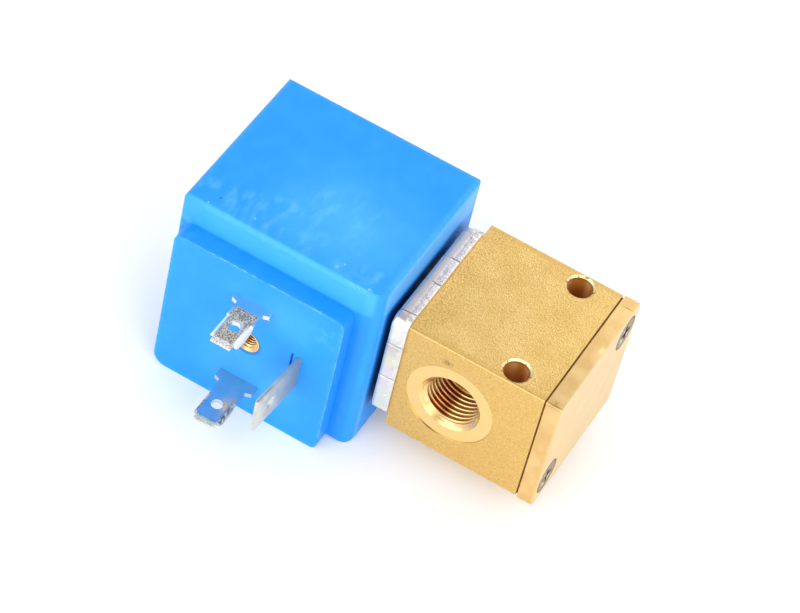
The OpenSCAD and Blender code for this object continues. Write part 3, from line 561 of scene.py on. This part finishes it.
stops = line_long - np.array([0.0, 0.4, 0.8, 1.1, 1.2, 1.32, 2.0, 2.6, 3.0, 5.4, 5.68, 5.8, 6.6, 7.6,
                              8.75, 9.1, 10.9, 13.0, line_long])
flat, quads = holed_sheet(stops, line_half, line_long - line_hole, 0.95, 1.3)
for name, level, set_in in (("line_terminal_upper", 6.3, upper_in), ("line_terminal_lower", -11.7, 0.0)):
    def line_place(flat, side, level=level, set_in=set_in):
        """A tab point: run goes towards -y from the root, across goes along x."""
        along = np.minimum(root_y - flat[:, 0] + set_in, root_y)
        return grid(plug_x + flat[:, 1], along, level + side * tab_half_t(line_long - flat[:, 0]))

    tab = piece(name + "_blade", *thicken(flat, quads, line_place), tin, "coil", "tinned_brass", smooth=28)
    round_over(tab, 0.09)
    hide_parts(name)
    for side, hand in ((-1, "left"), (1, "right")):
        ear = surface(f"{name}_ear_{hand}", folded_ear(side, level, set_in), tin, "coil", "tinned_brass",
                      ends=True, smooth=40)
        round_over(ear, 0.05)

earth_x, earth_z, earth_free, earth_lean, earth_bend = -31.0, -3.2, 11.8, math.radians(3.8), 0.3
earth_straight, earth_hole, foot_y, foot_low, foot_top, yoke_x = 6.95, 4.0, -12.2, -6.1, 0.1, -22.2
earth_long = earth_straight + earth_free + earth_bend

soft_tin, shader, place = start_finish("worn_tin_plate", Metallic=0.7)
x, y, z = axes(place)
slope = math.tan(earth_lean)
middle = add(calc("MULTIPLY", y, slope), earth_x - (slab_y + earth_bend) * slope)
seam = below(calc("ABSOLUTE", calc("SUBTRACT", x, middle)), 0.05, 0.14)
seam = both(seam, ramp(z, 0.0, 0.1), below(y, -28.0, -26.0))
patchy = blobs(place, 2.6, 0.36, 0.66)
fine = blobs(place, 0.35, 0.42, 0.7, 4.0)
# Painted highlight: a white crescent on the upper side of the hole's rim.
hole_highlight = off_line(place, (0.0, slab_y - 7.8, earth_z), (0, 1, 1))
hole_highlight = both(below(hole_highlight, 1.05, 1.2), ramp(z, earth_z + 0.2, earth_z + 0.5))
# Painted shade: the blade is darker grey-green towards its root by the slab.
colour = paint(tint(patchy, (0.58, 0.59, 0.55), (0.74, 0.74, 0.69)),
               ((0.34, 0.38, 0.36), ramp(y, -20.0, -28.0, 0.8, 0.0)), ((0.58, 0.56, 0.5), fine, 0.25),
               ((0.16, 0.13, 0.1), seam, 0.5), ((0.97, 0.97, 0.95), hole_highlight))
near_tip = ramp(y, -31.3, -22.0, 0.5, 0.42)
end_finish(shader, colour, add(near_tip, both(fine, 0.06)), noise_at(place, 0.5, 3.0), 0.012)


def earth_half(run):
    """Half width of the earth tab: full, with its tip's corners just broken."""
    return np.interp(earth_long - run, [0.0, 0.25], [blade_wide / 2 - 0.2, blade_wide / 2])


def earth_place(flat, side):
    """A point of the earth tab: its root stands along y, then it leans towards -x past the bend."""
    past = np.maximum(flat[:, 0] - earth_straight, 0.0)
    before = np.minimum(flat[:, 0], earth_straight)
    half_t = side * tab_half_t(earth_long - flat[:, 0])
    lean = earth_lean * np.clip(past / 0.5, 0.0, 1.0)
    across = earth_x - past * np.sin(earth_lean) - half_t * np.cos(lean)
    along = foot_y - before - past * np.cos(earth_lean) + half_t * np.sin(lean)
    return grid(across, along, earth_z + flat[:, 1])


stops = earth_long - np.array([0.0, 0.25, 0.5, 0.8, 1.4, 2.0, 6.7, 8.0, 10.0, 11.6, 12.1, 14.0, 19.05])
flat, quads = holed_sheet(stops, earth_half, earth_long - earth_hole, 0.8, 1.2)
tab = piece("earth_blade", *thicken(flat, quads, earth_place), soft_tin, "coil", "tinned_brass", smooth=28)
round_over(tab, 0.09)
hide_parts("earth_terminal")
stations = np.array([-30.7, -28.0, -25.0, yoke_x])[:, None]
around_y, around_z = foot_y - blade_t * np.array([0, 1, 1, 0]), np.repeat([foot_low, foot_top], 2)
foot = surface("earth_foot", grid(stations, around_y, around_z), soft_tin, "coil", "tinned_brass", ends=True)
round_over(foot, 0.07)


# ---- Plug screw insert ----
# Brass bush moulded into the slab between the tabs, with a film of resin round its
# rim. It is tapped M3 for the screw that holds the plug.

def cut_brass(name, centre, crest, root, mouth, light, dark, roughness, rim=99.0):
    """Tapped brass, its crests bright, with painted shade down the thread to its roots, which lie at
    the radii crest and root round an axis along y through centre. Their chamfer is where the
    distance along the axis less the radius comes to mouth. The lower-left wall carries a deeper
    reddish painted shade and a darker tan chamfer, and the chamfer's lower right a pinkish painted
    reflection. Past the radius rim, resin laps over the brass, dark with painted shade at its edge."""
    material, shader, place = start_finish(name, **{"Specular IOR Level": 0.2})
    centre = (centre[0], 0.0, centre[1])
    radius, out = off_line(place, centre, (1, 0, 1)), vector("SUBTRACT", place, centre)
    toward_shade, far = [calc("DIVIDE", vector("DOT_PRODUCT", out, way), radius)
                 for way in ((-0.47, 0.0, -0.88), (0.66, 0.0, -0.75))]
    mouth_at = calc("SUBTRACT", calc("ABSOLUTE", axes(place)[1]), radius)
    on_chamfer = ramp(mouth_at, mouth - 0.07, mouth - 0.03)
    in_thread = both(below(radius, root + 0.01, root + 0.04), without(on_chamfer))
    chamfer_reflection = both(ramp(far, 0.86, 0.95), on_chamfer)
    # Painted shade down the thread's grooves, and a deeper reddish shade on the lower-left wall.
    deep = both(ramp(radius, crest, 0.5 * (crest + root)), in_thread)
    brown = both(ramp(toward_shade, 0.84, 0.985), in_thread)
    # Painted shade: the resin is dark at its edge against the brass.
    lapped = ramp(radius, rim, rim + 0.06)
    resin = tint(ramp(radius, rim + 0.08, rim + 0.16), (0.02, 0.03, 0.06), (0.02, 0.3, 0.9))
    vary = blobs(place, 1.2, 0.35, 0.68)
    colour = paint(tint(vary, tuple(0.9 * c for c in light), light),
                   ((0.66, 0.44, 0.19), ramp(toward_shade, 0.86, 0.94), on_chamfer), ((0.8, 0.5, 0.25), chamfer_reflection),
                   (dark, deep), ((0.44, 0.1, 0.008), brown, add(both(deep, 0.35), 0.6)), (resin, lapped))
    metal = without(either(both(deep, without(brown), 0.75), both(chamfer_reflection, 0.6), lapped))
    end_finish(shader, colour, add(roughness, both(vary, 0.1)), noise_at(place, 0.25, 3.0), 0.01, metal)
    return material


def threaded_sleeve(name, material, body, axis, start, side, depths, pitch, major, minor, cone, back, steps):
    """Tapped sleeve round an axis along y through the x and z of axis: a grid along y and round it,
    from start inwards on one side. The wall's radius is minor + (major - minor) * fade *
    (1 + cos(2 pi (depth / pitch - angle / 2 pi))) / 2, where fade rises from 0 to 1 over half a pitch
    just before the foot of a 45 degree cone from the mouth, and it is never less than that cone.
    The back is a plain cylinder behind the wall."""
    angle, depth = np.linspace(0.0, 2 * np.pi, steps + 1)[:-1], depths[:, None]
    fade = np.clip((depth - (cone - minor)) / (0.5 * pitch) + 0.95, 0.0, 1.0)
    wall = minor + (major - minor) * fade * (0.5 + 0.5 * np.cos(2 * np.pi * depth / pitch - angle))
    wall = np.minimum(np.maximum(wall, cone - depth), major)
    radius, depth = np.vstack([wall, np.full((2, steps), back)]), np.vstack([depth, depth[[-1, 0]]])
    points = grid(axis[0] + radius * np.cos(angle), side * (start - depth), axis[1] + radius * np.sin(angle))
    surface(name, points, material, body, "body_brass", loop=True, smooth=60)


bush_mouth = -slab_y - 0.15
insert_gold = cut_brass("insert_brass", (plug_x, plug_z), 1.26, 1.5, 17.35, (0.95, 0.7, 0.32),
                        (0.2, 0.085, 0.02), 0.2, rim=2.08)
dress(insert_gold, "connector_insert")
threaded_sleeve("insert_thread", insert_gold, "coil", (plug_x, plug_z), bush_mouth, -1,
                np.linspace(0.3, 4.3, 130), 0.5, 1.49, 1.23, 1.95, 1.6, 48)


# ---- Valve body ----
# Block sawn from extruded brass bar and blasted with fine sand. The two G1/8 ports
# have a spot-faced ring and a chamfer, and two plain holes with countersunk mouths
# run through the block for its mounting screws.

port_x, body_front, body_top, hole_off_y, hole_r = -8.0, 13.3, 11.5, 10.55, 2.06
body_brass, shader, place = start_finish("blasted_brass")
x, y, z = axes(place)
sandy = use(grain, place, 0.27)
vary = blobs(place, 6.0, 0.35, 0.65)
up = calc("ABSOLUTE", z)
off_port = off_line(place, (port_x, 0.0, 0.0), (1, 0, 1))
by_port_face = ramp(calc("ABSOLUTE", y), 11.7, 12.7)
ring = both(below(off_port, 7.45, 7.5), by_port_face)
off_hole = off_line(vector("ABSOLUTE", place), (0.0, hole_off_y, 0.0), (1, 1, 0))
cone = both(below(off_hole, hole_r + 0.37, hole_r + 0.41), ramp(off_hole, hole_r + 0.01, hole_r + 0.05))
# The bore is painted darker near its mouths, as shade.
bore = below(off_hole, hole_r + 0.03, hole_r + 0.06)
coarse = without(either(ring, bore, cone))
# Painted shade: the block's edges are a little darker, which takes the highlight off their rounding.
edge_shade = use(edge_band, place, (-5.5, 0.0, 0.0), (11.7, body_front, body_top), 0.4)[0]
worn_end = both(ramp(up, 11.2, 11.45), below(x, -17.0, -11.0))
pitted = both(sandy["Pits"], coarse, add(0.42, both(worn_end, 0.35)))
big_pits = both(ramp(noise_at(place, 0.55, 2.0), 0.6, 0.68), coarse, 0.35)
glint = both(ramp(noise_at(place, 0.24, 2.0), 0.56, 0.66), coarse, without(both(by_port_face, 0.5)))
upright = vector("MULTIPLY", place, (1.0, 1.0, 0.05))
chatter = ramp(noise_at(upright, 0.55, 1.0), 0.56, 0.62)
streaks = ramp(noise_at(upright, 1.5, 1.0), 0.36, 0.66)
on_chamfer = both(by_port_face, below(off_port, 5.3, 5.4))
# Painted reflection: a pinkish, less metallic spot on the chamfer's right side; painted shade: a darker tan
# on its lower left.
chamfer_side_reflection = both(spots(place, ((port_x + 4.3, -body_front, -2.9), (1.0, 1.0, 1.2), 2.2)), on_chamfer)
chamfer_low_shade = spots(place, ((port_x - 2.6, -body_front, -4.4), (1.2, 1.0, 1.0), 3.4))
smear = both(spots(place, ((-10.0, -body_front, 8.6), (0.8, 1.0, 0.5), 1.9)),
             ramp(noise_at(place, 0.3, 3.0), 0.38, 0.55), 0.75)
# Painted shade: a dark arc along the ring's outer edge at the lower left.
arc = both(ramp(off_port, 7.38, 7.46), below(off_port, 7.5, 7.6),
           spots(place, ((-10.6, -body_front, -7.4), even, 3.2)), 0.85)
colour = paint(tint(vary, (0.8, 0.53, 0.172), (0.86, 0.595, 0.21)),
               ((0.76, 0.502, 0.162), by_port_face, coarse), ((1.0, 0.8, 0.4), glint, 0.6),
               ((0.52, 0.28, 0.08), either(pitted, big_pits)), ((0.74, 0.5, 0.18), edge_shade, 0.6),
               ((0.945, 0.655, 0.265), ring), (tint(chatter, (0.92, 0.82, 0.48), (0.42, 0.32, 0.11)), cone),
               (tint(streaks, (0.62, 0.25, 0.03), (0.9, 0.5, 0.19)), bore),
               ((0.14, 0.05, 0.006), bore, ramp(up, 10.6, 11.1), 0.6), ((0.8, 0.5, 0.25), chamfer_side_reflection),
               ((0.66, 0.44, 0.19), chamfer_low_shade, on_chamfer), ((0.2, 0.12, 0.05), either(smear, arc)))
metal = without(either(both(bore, 0.55), both(chamfer_side_reflection, 0.6)))
roughness = add(0.27, add(both(coarse, 0.13), both(either(bore, cone), 0.2)))
lathe = noise_at(wire("CombineXYZ", {0: off_port}).outputs[0], 1 / 9, 3.0)
height = add(both(sandy["Height"], coarse), both(lathe, ring, 0.1))
end_finish(shader, colour, roughness, height, 0.05, metal)


def softened(node, material, slot, width, angle=32, share=None, reshape=None):
    """Copy of a CAD node with its doubles merged and its flat triangles joined, whose sharp edges
    get a narrow rounding; it stands for the node. share gives the edges' parts of the width from
    their middles, and reshape the points' new places, in millimetres."""
    work = bmesh.new()
    work.from_mesh(nodes[node].data)
    bmesh.ops.remove_doubles(work, verts=work.verts, dist=2e-7)
    bmesh.ops.dissolve_limit(work, angle_limit=math.radians(0.3), verts=work.verts, edges=work.edges)
    work.verts.index_update()
    verts = np.array([v.co for v in work.verts]) * 1000.0
    faces = [[v.index for v in f.verts] for f in work.faces]
    work.free()
    verts = reshape(verts) if reshape else verts
    made = piece(node + "_finished", verts, faces, material, nodes[node]["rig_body"], slot, smooth=angle)
    rounding = round_over(made, width, 4 if share else 2, angle)
    if share:
        mesh = made.data
        ends = np.array([mesh.vertices[v].co for edge in mesh.edges for v in edge.vertices]) * 1000.0
        part = share(ends.reshape(-1, 2, 3).mean(1)) * [edge.use_edge_sharp for edge in mesh.edges]
        mesh.attributes.new("bevel_weight_edge", "FLOAT", "EDGE").data.foreach_set("value", part)
        rounding.limit_method = "WEIGHT"
    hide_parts(node)


def reamed(verts, drilled_y=10.6, drilled_r=1.8):
    """The mounting holes' points, at up to 0.6 mm past the drilled radius, pushed out to the reamed
    radius, and their centres brought a little together."""
    row = np.sign(verts[:, 1:2]) * (0.0, 1.0)
    off = verts[:, :2] - row * drilled_y
    radius = np.linalg.norm(off, axis=1, keepdims=True)
    moved = off * (1.0 + (hole_r - drilled_r + 0.1 * (radius - drilled_r)) / radius) + row * hole_off_y
    verts[:, :2] = np.where(radius < drilled_r + 0.6, moved, verts[:, :2])
    return verts


softened("valve_body", body_brass, "body_brass", 0.09, reshape=reamed)
port_brass = cut_brass("thread_brass", (port_x, 0.0), 4.31, 4.86, 7.835, (0.92, 0.7, 0.34),
                       (0.46, 0.2, 0.035), 0.26)
for name, side in (("inlet_thread", -1), ("outlet_thread", 1)):
    threaded_sleeve(name, port_brass, "valve", (port_x, 0.0), 13.15, side,
                    np.linspace(0.44, 7.4, 210), 0.907, 4.85, 4.285, 5.315, 4.95, 96)


# ---- Cover plate and gasket ----
# Flat plate of drawn brass over a thin fibre gasket, held by two countersunk screws.
# The bar's drawn edges are rounded on the outer side.

cover_out, cover_low, cover_top, cover_left, cover_right = 9.2, -11.85, 11.5, -13.3, 13.5
screw_y, screw_z = 9.9, 7.7


def off_screws(place, shift=0.0):
    """Distance from the nearer cover screw's axis, with both axes shifted down and to the left."""
    first, second = [off_line(place, (0.0, side * screw_y - shift, side * screw_z - shift), (0, 1, 1))
                     for side in (1, -1)]
    return calc("MINIMUM", first, second)


cover_brass, shader, place = start_finish("drawn_brass", Metallic=1.0)
x = axes(place)[0]
vary = blobs(place, 4.0, 0.36, 0.66)
streak = noise_at(vector("MULTIPLY", place, (1.0, 0.06, 1.0)), 0.18, 3.0)
# Painted light: the end face is paler.
lit_end_face = ramp(x, 8.75, 9.17)
# Painted shade round the countersinks' rims of the screws on the end face.
countersink_shade = both(below(off_screws(place), 3.02, 3.12), ramp(x, 7.0, 7.2))
# Dark strokes along the top's front and back edges.
dark_edge_strokes = spots(place, ((7.9, -13.12, cover_top), (1, 0.15, 1), 2.0),
              ((8.2, 11.15, cover_top), (1, 0.15, 1), 1.3))
stain = both(spots(place, ((7.9, -12.5, cover_top), (1, 0.5, 1), 1.5)), blobs(place, 0.5, 0.45, 0.6), 0.6)
# Painted highlight: a bright spot on the top near the end.
highlight_spot = spots(place, ((8.7, 0.9, cover_top), (0.5, 1, 1), 1.1))
colour = paint(tint(vary, (0.76, 0.49, 0.195), (0.86, 0.6, 0.27)), ((0.86, 0.64, 0.31), lit_end_face, 0.75),
               ((0.24, 0.14, 0.05), either(both(either(dark_edge_strokes, stain), 0.75), countersink_shade)),
               ((1.0, 0.9, 0.45), highlight_spot, 0.8))
end_finish(shader, colour, add(0.27, both(streak, 0.12)), add(streak, noise_at(place, 0.5, 3.0)), 0.016)


def cover_share(middles):
    """The full rounding on the outer face's rim, and 0.15 of it on the other edges."""
    x, y, z = middles.T
    from_rim = np.minimum.reduce([y - cover_left, cover_right - y, z - cover_low, cover_top - z])
    return np.where((x > cover_out - 0.01) & (from_rim < 0.4), 1.0, 0.15)


softened("cover_plate", cover_brass, "cover_brass", 0.5, share=cover_share)


def matt_finish(name, light, dark, roughness, size, depth):
    """Plain matt stuff: a varied colour and a fine bump of one size."""
    material, shader, place = start_finish(name, **{"Specular IOR Level": 0.3})
    vary = blobs(place, size, 0.35, 0.65)
    end_finish(shader, tint(vary, dark, light), add(roughness, both(vary, 0.12)),
               noise_at(place, size / 3, 4.0), depth)
    return material


dress(matt_finish("gasket_fibre", (0.24, 0.11, 0.025), (0.13, 0.055, 0.012), 0.75, 0.8, 0.03), "cover_gasket")


# ---- Screws ----
# Zinc-plated countersunk screws with cross recesses, two in the cover and four in
# the flange plate.

screw_steel, shader, place = start_finish("screw_steel", Metallic=1.0)
in_cover = ramp(axes(place)[0], 8.0, 8.2)
turned = blobs(place, 0.6, 0.36, 0.64, 5.0)
# Painted highlight: pale pinkish patches round the cover screws' recesses, set down and to the left.
recess_highlight = both(in_cover, below(off_screws(place, 0.3), 1.0, 1.7), blobs(place, 0.5, 0.4, 0.5))
# Painted shade: dark round the rim of each cover screw's head.
outer = both(in_cover, ramp(off_screws(place), 2.35, 2.75))
colour = paint(tint(turned, (0.2, 0.155, 0.075), (0.36, 0.29, 0.165)), ((0.66, 0.58, 0.5), recess_highlight),
               ((0.11, 0.075, 0.03), outer, 0.7))
end_finish(shader, colour, add(0.3, both(turned, 0.14)), noise_at(place, 0.15, 4.0), 0.01)
for node in ("cover_screws", "flange_screws"):
    softened(node, screw_steel, "zinc_steel", 0.05, 40)


# ---- Flange plate ----
# Zinc-plated steel plate that was nibbled out of thick sheet. The punch drew the
# rim down on the coil's side, left a smooth band and then a torn one on the body's
# side, and every stroke left its own small step.

plate_back, plate_front = -20.0, -17.2


def plate_outline(count):
    """Points (y, z) evenly along the plate's outline and their outward directions: a 28.2 by 25.4
    rectangle with two opposite corners cut by 4.6 and the others rounded by 1.8. The cuts' own
    corners are rounded by 0.8."""
    y, z, cut, r, soft = 14.1, 12.7, 4.6, 1.8, 0.8
    a, b = np.linspace(0.0, np.pi / 2, 9), np.linspace(0.0, np.pi / 4, 5)
    back = soft * math.tan(math.pi / 8)
    low = grid(y - r + r * np.sin(a), -z + r - r * np.cos(a))
    upright = grid(y - soft + soft * np.cos(b), z - cut - back + soft * np.sin(b))
    flat = grid(y - cut - back + soft * np.sin(b), z - soft + soft * np.cos(b))[::-1]
    half = np.vstack([low, upright, flat])
    line = resample(np.vstack([half, -half, half[:1]]), count=count + 1)[:-1]
    ahead = np.roll(line, -1, 0) - np.roll(line, 1, 0)
    return line, unit(ahead[:, ::-1] * (1, -1))


# The rim's points run along each punch stroke, part, from begin to end: the plate narrows by 0.1 mm
# over a stroke, and a nick 0.12 mm deep stands where the next begins. rest is the rim's own
# profile through the plate's thickness, and torn roughens the band on the body's side.
rim_count, tube_r = 1500, 7.4
line, out = plate_outline(rim_count)
steps = np.array([(8.4, 12.7), (2.2, 12.7), (-3.9, 12.7), (-11.9, 12.5), (-14.1, 6.9), (-14.1, -0.6),
                  (-13.0, -9.2), (-7.5, -12.7), (-1.3, -12.7), (4.8, -12.7), (10.9, -12.7), (14.1, -7.6),
                  (14.1, -1.4), (14.1, 4.8)])
starts = np.sort(np.linalg.norm(line[:, None] - steps, axis=2).argmin(0))
starts = np.r_[starts[-1] - rim_count, starts, starts[0] + rim_count]
index = np.arange(rim_count)
stroke = np.searchsorted(starts, index, "right") - 1
begin, end = starts[stroke], starts[stroke + 1]
part = (index - begin) / (end - begin)
nick = np.exp(-np.minimum(index - begin, end - index) ** 2 / 3.0)
drift = np.interp(index, np.linspace(0, rim_count, 60), np.r_[chance.normal(size=59), 0.0])
drift -= np.linspace(0, drift[-1] - drift[0], rim_count)
torn = chance.normal(size=(rim_count, 3)).clip(-2, 2)
depths = np.array([0.0, 0.08, 0.2, 0.38, 0.6, 0.9, 1.3, 1.55, 1.8, 2.1, 2.4, 2.72, 2.8])
rest = np.array([-0.34, -0.2, -0.1, -0.03, 0.0, 0.0, 0.0, -0.02, -0.05, -0.07, -0.08, -0.1, -0.15])
nick_deep = np.r_[0.03, np.full(11, 0.12), 0.06]
band = rest + (0.015 * drift - 0.1 * part)[:, None] - nick[:, None] * nick_deep
band[:, 8:11] += 0.022 * torn
rim = line[:, None] + out[:, None] * np.minimum(band, 0.0)[..., None]
bore_ring = tube_r * unit(line)
shares = np.array([0.25, 0.5, 0.75, 1.0])[:, None]
front, back = [rim[:, [col]] * (1 - shares) + bore_ring[:, None] * shares for col in (-1, 0)]
loop = np.concatenate([rim, front, back[:, ::-1]], 1)
loop_x = np.r_[plate_back + depths, np.full(4, plate_front), np.full(4, plate_back)]
loop = np.concatenate([np.broadcast_to(loop_x[:, None], loop.shape[:2] + (1,)), loop], -1)

zinc, shader, place = start_finish("iridescent_zinc")
x, y, z = axes(place)
tone = blobs(place, 5.0, 0.38, 0.62)
wander = both(calc("SUBTRACT", noise_at(place, 3.0, 2.0), 0.5), 1.6)
torn_side = ramp(add(x, wander), -18.15, -18.0)
fleck = use(grain, place, 0.26)
dark_fleck = both(ramp(noise_at(place, 0.28, 3.0, 0.65), 0.52, 0.62), blobs(place, 1.6, 0.42, 0.6))
front_edge = below(y, -13.9, -13.6)
rainbow = [(hue, ramp(add(z, wander), low, high), front_edge, 0.75)
           for low, high, hue in ((7.5, 3.0, (0.84, 0.86, 0.62)), (2.8, 1.0, (0.8, 0.7, 0.8)),
                                  (-1.5, -4.5, (0.74, 0.8, 0.7)))]
on_top = ramp(z, 12.3, 12.5)
slanting_y = add(y, both(add(x, 18.6), -0.1))
# Painted shade: dark lines where punch strokes meet, on the top and down the front edge.
step_shade = [both(where, below(calc("ABSOLUTE", calc("SUBTRACT", along, at)), low, high))
         for along, where, low, high, joints in ((slanting_y, on_top, 0.05, 0.16, (2.2, -3.9, -11.5)),
                                                 (z, front_edge, 0.03, 0.12, (6.9, -0.6))) for at in joints]
colour = paint(tint(tone, (0.6, 0.55, 0.55), (0.62, 0.58, 0.62)), *rainbow,
               ((0.87, 0.87, 0.79), front_edge, ramp(z, 6.0, 9.0)), ((0.84, 0.83, 0.82), torn_side, 0.6),
               ((0.2, 0.19, 0.2), torn_side, dark_fleck, add(both(on_top, 0.55), 0.2)),
               ((0.16, 0.15, 0.16), either(*step_shade), 0.8))
rolled = below(x, -19.85, -19.45)
roughness = add(add(0.29, both(torn_side, 0.1)), both(rolled, 0.25))
height = add(both(fleck["Height"], torn_side, 0.6), both(noise_at(place, 1.6, 2.0), 0.5))
end_finish(shader, colour, roughness, height, 0.04, without(both(rolled, 0.35)))
flange = surface("flange_plate_nibbled", loop, zinc, "valve", "zinc_steel", loop=True, smooth=30)
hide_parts("flange_plate")


# ---- Tube, core, washer and nut ----
# Drawn stainless tube that holds the armature. The fixed core closes its end, and the
# core's stud carries the washer and the nut that hold the coil.

def plated_steel(name, light, dark, roughness, size):
    """Plated or bright steel: slight patches of tone and roughness, and a fine tool grain."""
    material, shader, place = start_finish(name, Metallic=1.0)
    vary = blobs(place, size, 0.36, 0.64, 5.0)
    end_finish(shader, tint(vary, dark, light), add(roughness, both(vary, 0.14)),
               noise_at(place, size / 4, 4.0), 0.01)
    return material


tube_steel = plated_steel("tube_steel", (0.72, 0.72, 0.72), (0.55, 0.55, 0.56), 0.24, 1.0)
dress(tube_steel, "armature_tube", "fixed_core", "seat_nozzle")
nut_zinc = plated_steel("nut_zinc", (0.76, 0.75, 0.72), (0.56, 0.56, 0.56), 0.27, 0.8)
softened("coil_washer", nut_zinc, "zinc_steel", 0.08)
softened("coil_nut", nut_zinc, "zinc_steel", 0.06)


# ---- Armature, spring and seal ----
# Soft magnetic steel plunger with a rubber disc in its face. A stainless spring, wound
# from round wire with its end turns closed, stands in its back.

dress(plated_steel("armature_steel", (0.6, 0.6, 0.6), (0.45, 0.45, 0.46), 0.3, 1.5), "armature")
spring_wire = plated_steel("spring_wire", (0.66, 0.66, 0.67), (0.5, 0.5, 0.52), 0.22, 0.6)
wire_r, mean_r, turn_count, closed, stroke = 0.3, 2.5, 7.0, 0.075, 1.2
spring_x = np.array([v.co.x for v in nodes["return_spring"].data.vertices]) * 1000.0
spring_from, spring_to = spring_x.min(), spring_x.max()
# A circle of the wire's radius, b, goes round the axis along a helix, t, whose end turns rise little.
t, b = np.linspace(0.0, 1.0, 169)[:, None], np.linspace(0.0, 2 * np.pi, 13)[None, :-1]
rise = np.interp(t, [0.0, 1 / turn_count, 1 - 1 / turn_count, 1.0], [0.0, closed, 1 - closed, 1.0])
spring_at = spring_from + wire_r + (spring_to - spring_from - 2 * wire_r) * rise + wire_r * np.sin(b)
out, turn = mean_r + wire_r * np.cos(b), 2 * np.pi * turn_count * t
points = grid(spring_at, out * np.cos(turn), out * np.sin(turn))
spring = surface("return_spring_coil", points, spring_wire, nodes["return_spring"]["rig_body"], "stainless",
                 ends=True, smooth=60)
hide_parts("return_spring")
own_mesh(spring)
rubber = matt_finish("valve_rubber", (0.045, 0.045, 0.05), (0.02, 0.02, 0.023), 0.6, 0.9, 0.02)
dress(rubber, "armature_seal", "tube_o_ring", "coil_gasket")


# ---- Winding, bobbin and yoke ----
# Enamelled copper wire on a nylon bobbin, inside a bent steel yoke. All of it is
# moulded in.

copper, shader, place = start_finish("enamelled_copper", Metallic=1.0)
turns = wire("TexWave", {"Vector": place, "Scale": 0.5, "Distortion": 0.6, "Detail": 1.0},
             wave_type="BANDS", bands_direction="X").outputs["Fac"]
colour = tint(turns, (0.42, 0.15, 0.05), (0.85, 0.42, 0.2))
end_finish(shader, colour, add(0.22, both(turns, 0.1)), turns, 0.1)
dress(copper, "copper_winding", "winding_leads", "shading_ring")
dress(matt_finish("bobbin_nylon", (0.8, 0.77, 0.68), (0.68, 0.65, 0.56), 0.45, 3.0, 0.02), "coil_bobbin")
dress(plated_steel("yoke_steel", (0.58, 0.57, 0.56), (0.42, 0.41, 0.41), 0.35, 2.0), "magnet_yoke")


# ---- Floor, light and camera ----
# Pale sheet of paper inside a light tent, with three large soft lamps. The paper
# lies just under the coil, and the camera looks down on the plug's side.

floor_z, floor_half = -0.018, 3.0
paper, shader, place = start_finish("pale_paper", Roughness=0.9,
                                    **{"Emission Strength": 0.03, "Emission Color": (1, 1, 1, 1)})
shade = tint(noise_at(place, 200.0, 2.0), (0.98, 0.98, 0.98), (0.99, 0.99, 0.99))
shader.id_data.links.new(shade, shader.inputs["Base Color"])
mesh = bpy.data.meshes.new("floor")
corners = floor_half * np.array([(-1, -1, 0), (1, -1, 0), (1, 1, 0), (-1, 1, 0)]) + (0, 0, floor_z)
mesh.from_pydata(corners.tolist(), [], [(0, 1, 2, 3)])
mesh.materials.append(paper)
added("floor", mesh)

world = bpy.data.worlds.new("studio")
bpy.context.scene.world = world
world.use_nodes = True
tree = world.node_tree
dim = ramp(axes(wire("TexCoord", tree=tree).outputs["Generated"])[2], 0.05, 0.9)
tree.links.new(tint(dim, (1.0, 1.0, 1.0), (0.8, 0.81, 0.83)), tree.nodes["Background"].inputs["Color"])
tree.nodes["Background"].inputs["Strength"].default_value = 0.9


def soft_light(name, place, size, power, aim=Vector((-0.02, 0, 0))):
    """A square area light that looks from its place at the part."""
    light = bpy.data.lights.new(name, "AREA")
    light.shape, light.size, light.energy = "SQUARE", size, power
    lamp = added(name, light)
    lamp.location = place
    lamp.rotation_euler = (aim - Vector(place)).to_track_quat("-Z", "Y").to_euler()


soft_light("key", (-0.5, -0.85, 0.6), 1.2, 6.5)
soft_light("fill", (0.75, -0.55, 0.5), 0.8, 5.0)
soft_light("rim", (0.25, 0.9, 0.6), 0.8, 2.9)

camera = added("camera", bpy.data.cameras.new("camera"))
camera.data.lens, camera.data.sensor_width = 153.278, 36.0
camera.data.clip_start, camera.data.clip_end = 0.01, 20.0
right, up, back = (0.85881, 0.48345, 0.16948), (-0.46646, 0.60115, 0.64887), (0.21182, -0.63631, 0.74178)
camera.matrix_world = Matrix([*zip(right, up, back, (0.088572, -0.338158, 0.393502)), (0, 0, 0, 1)])
bpy.context.scene.camera = camera
bpy.context.scene.view_settings.view_transform = "Standard"
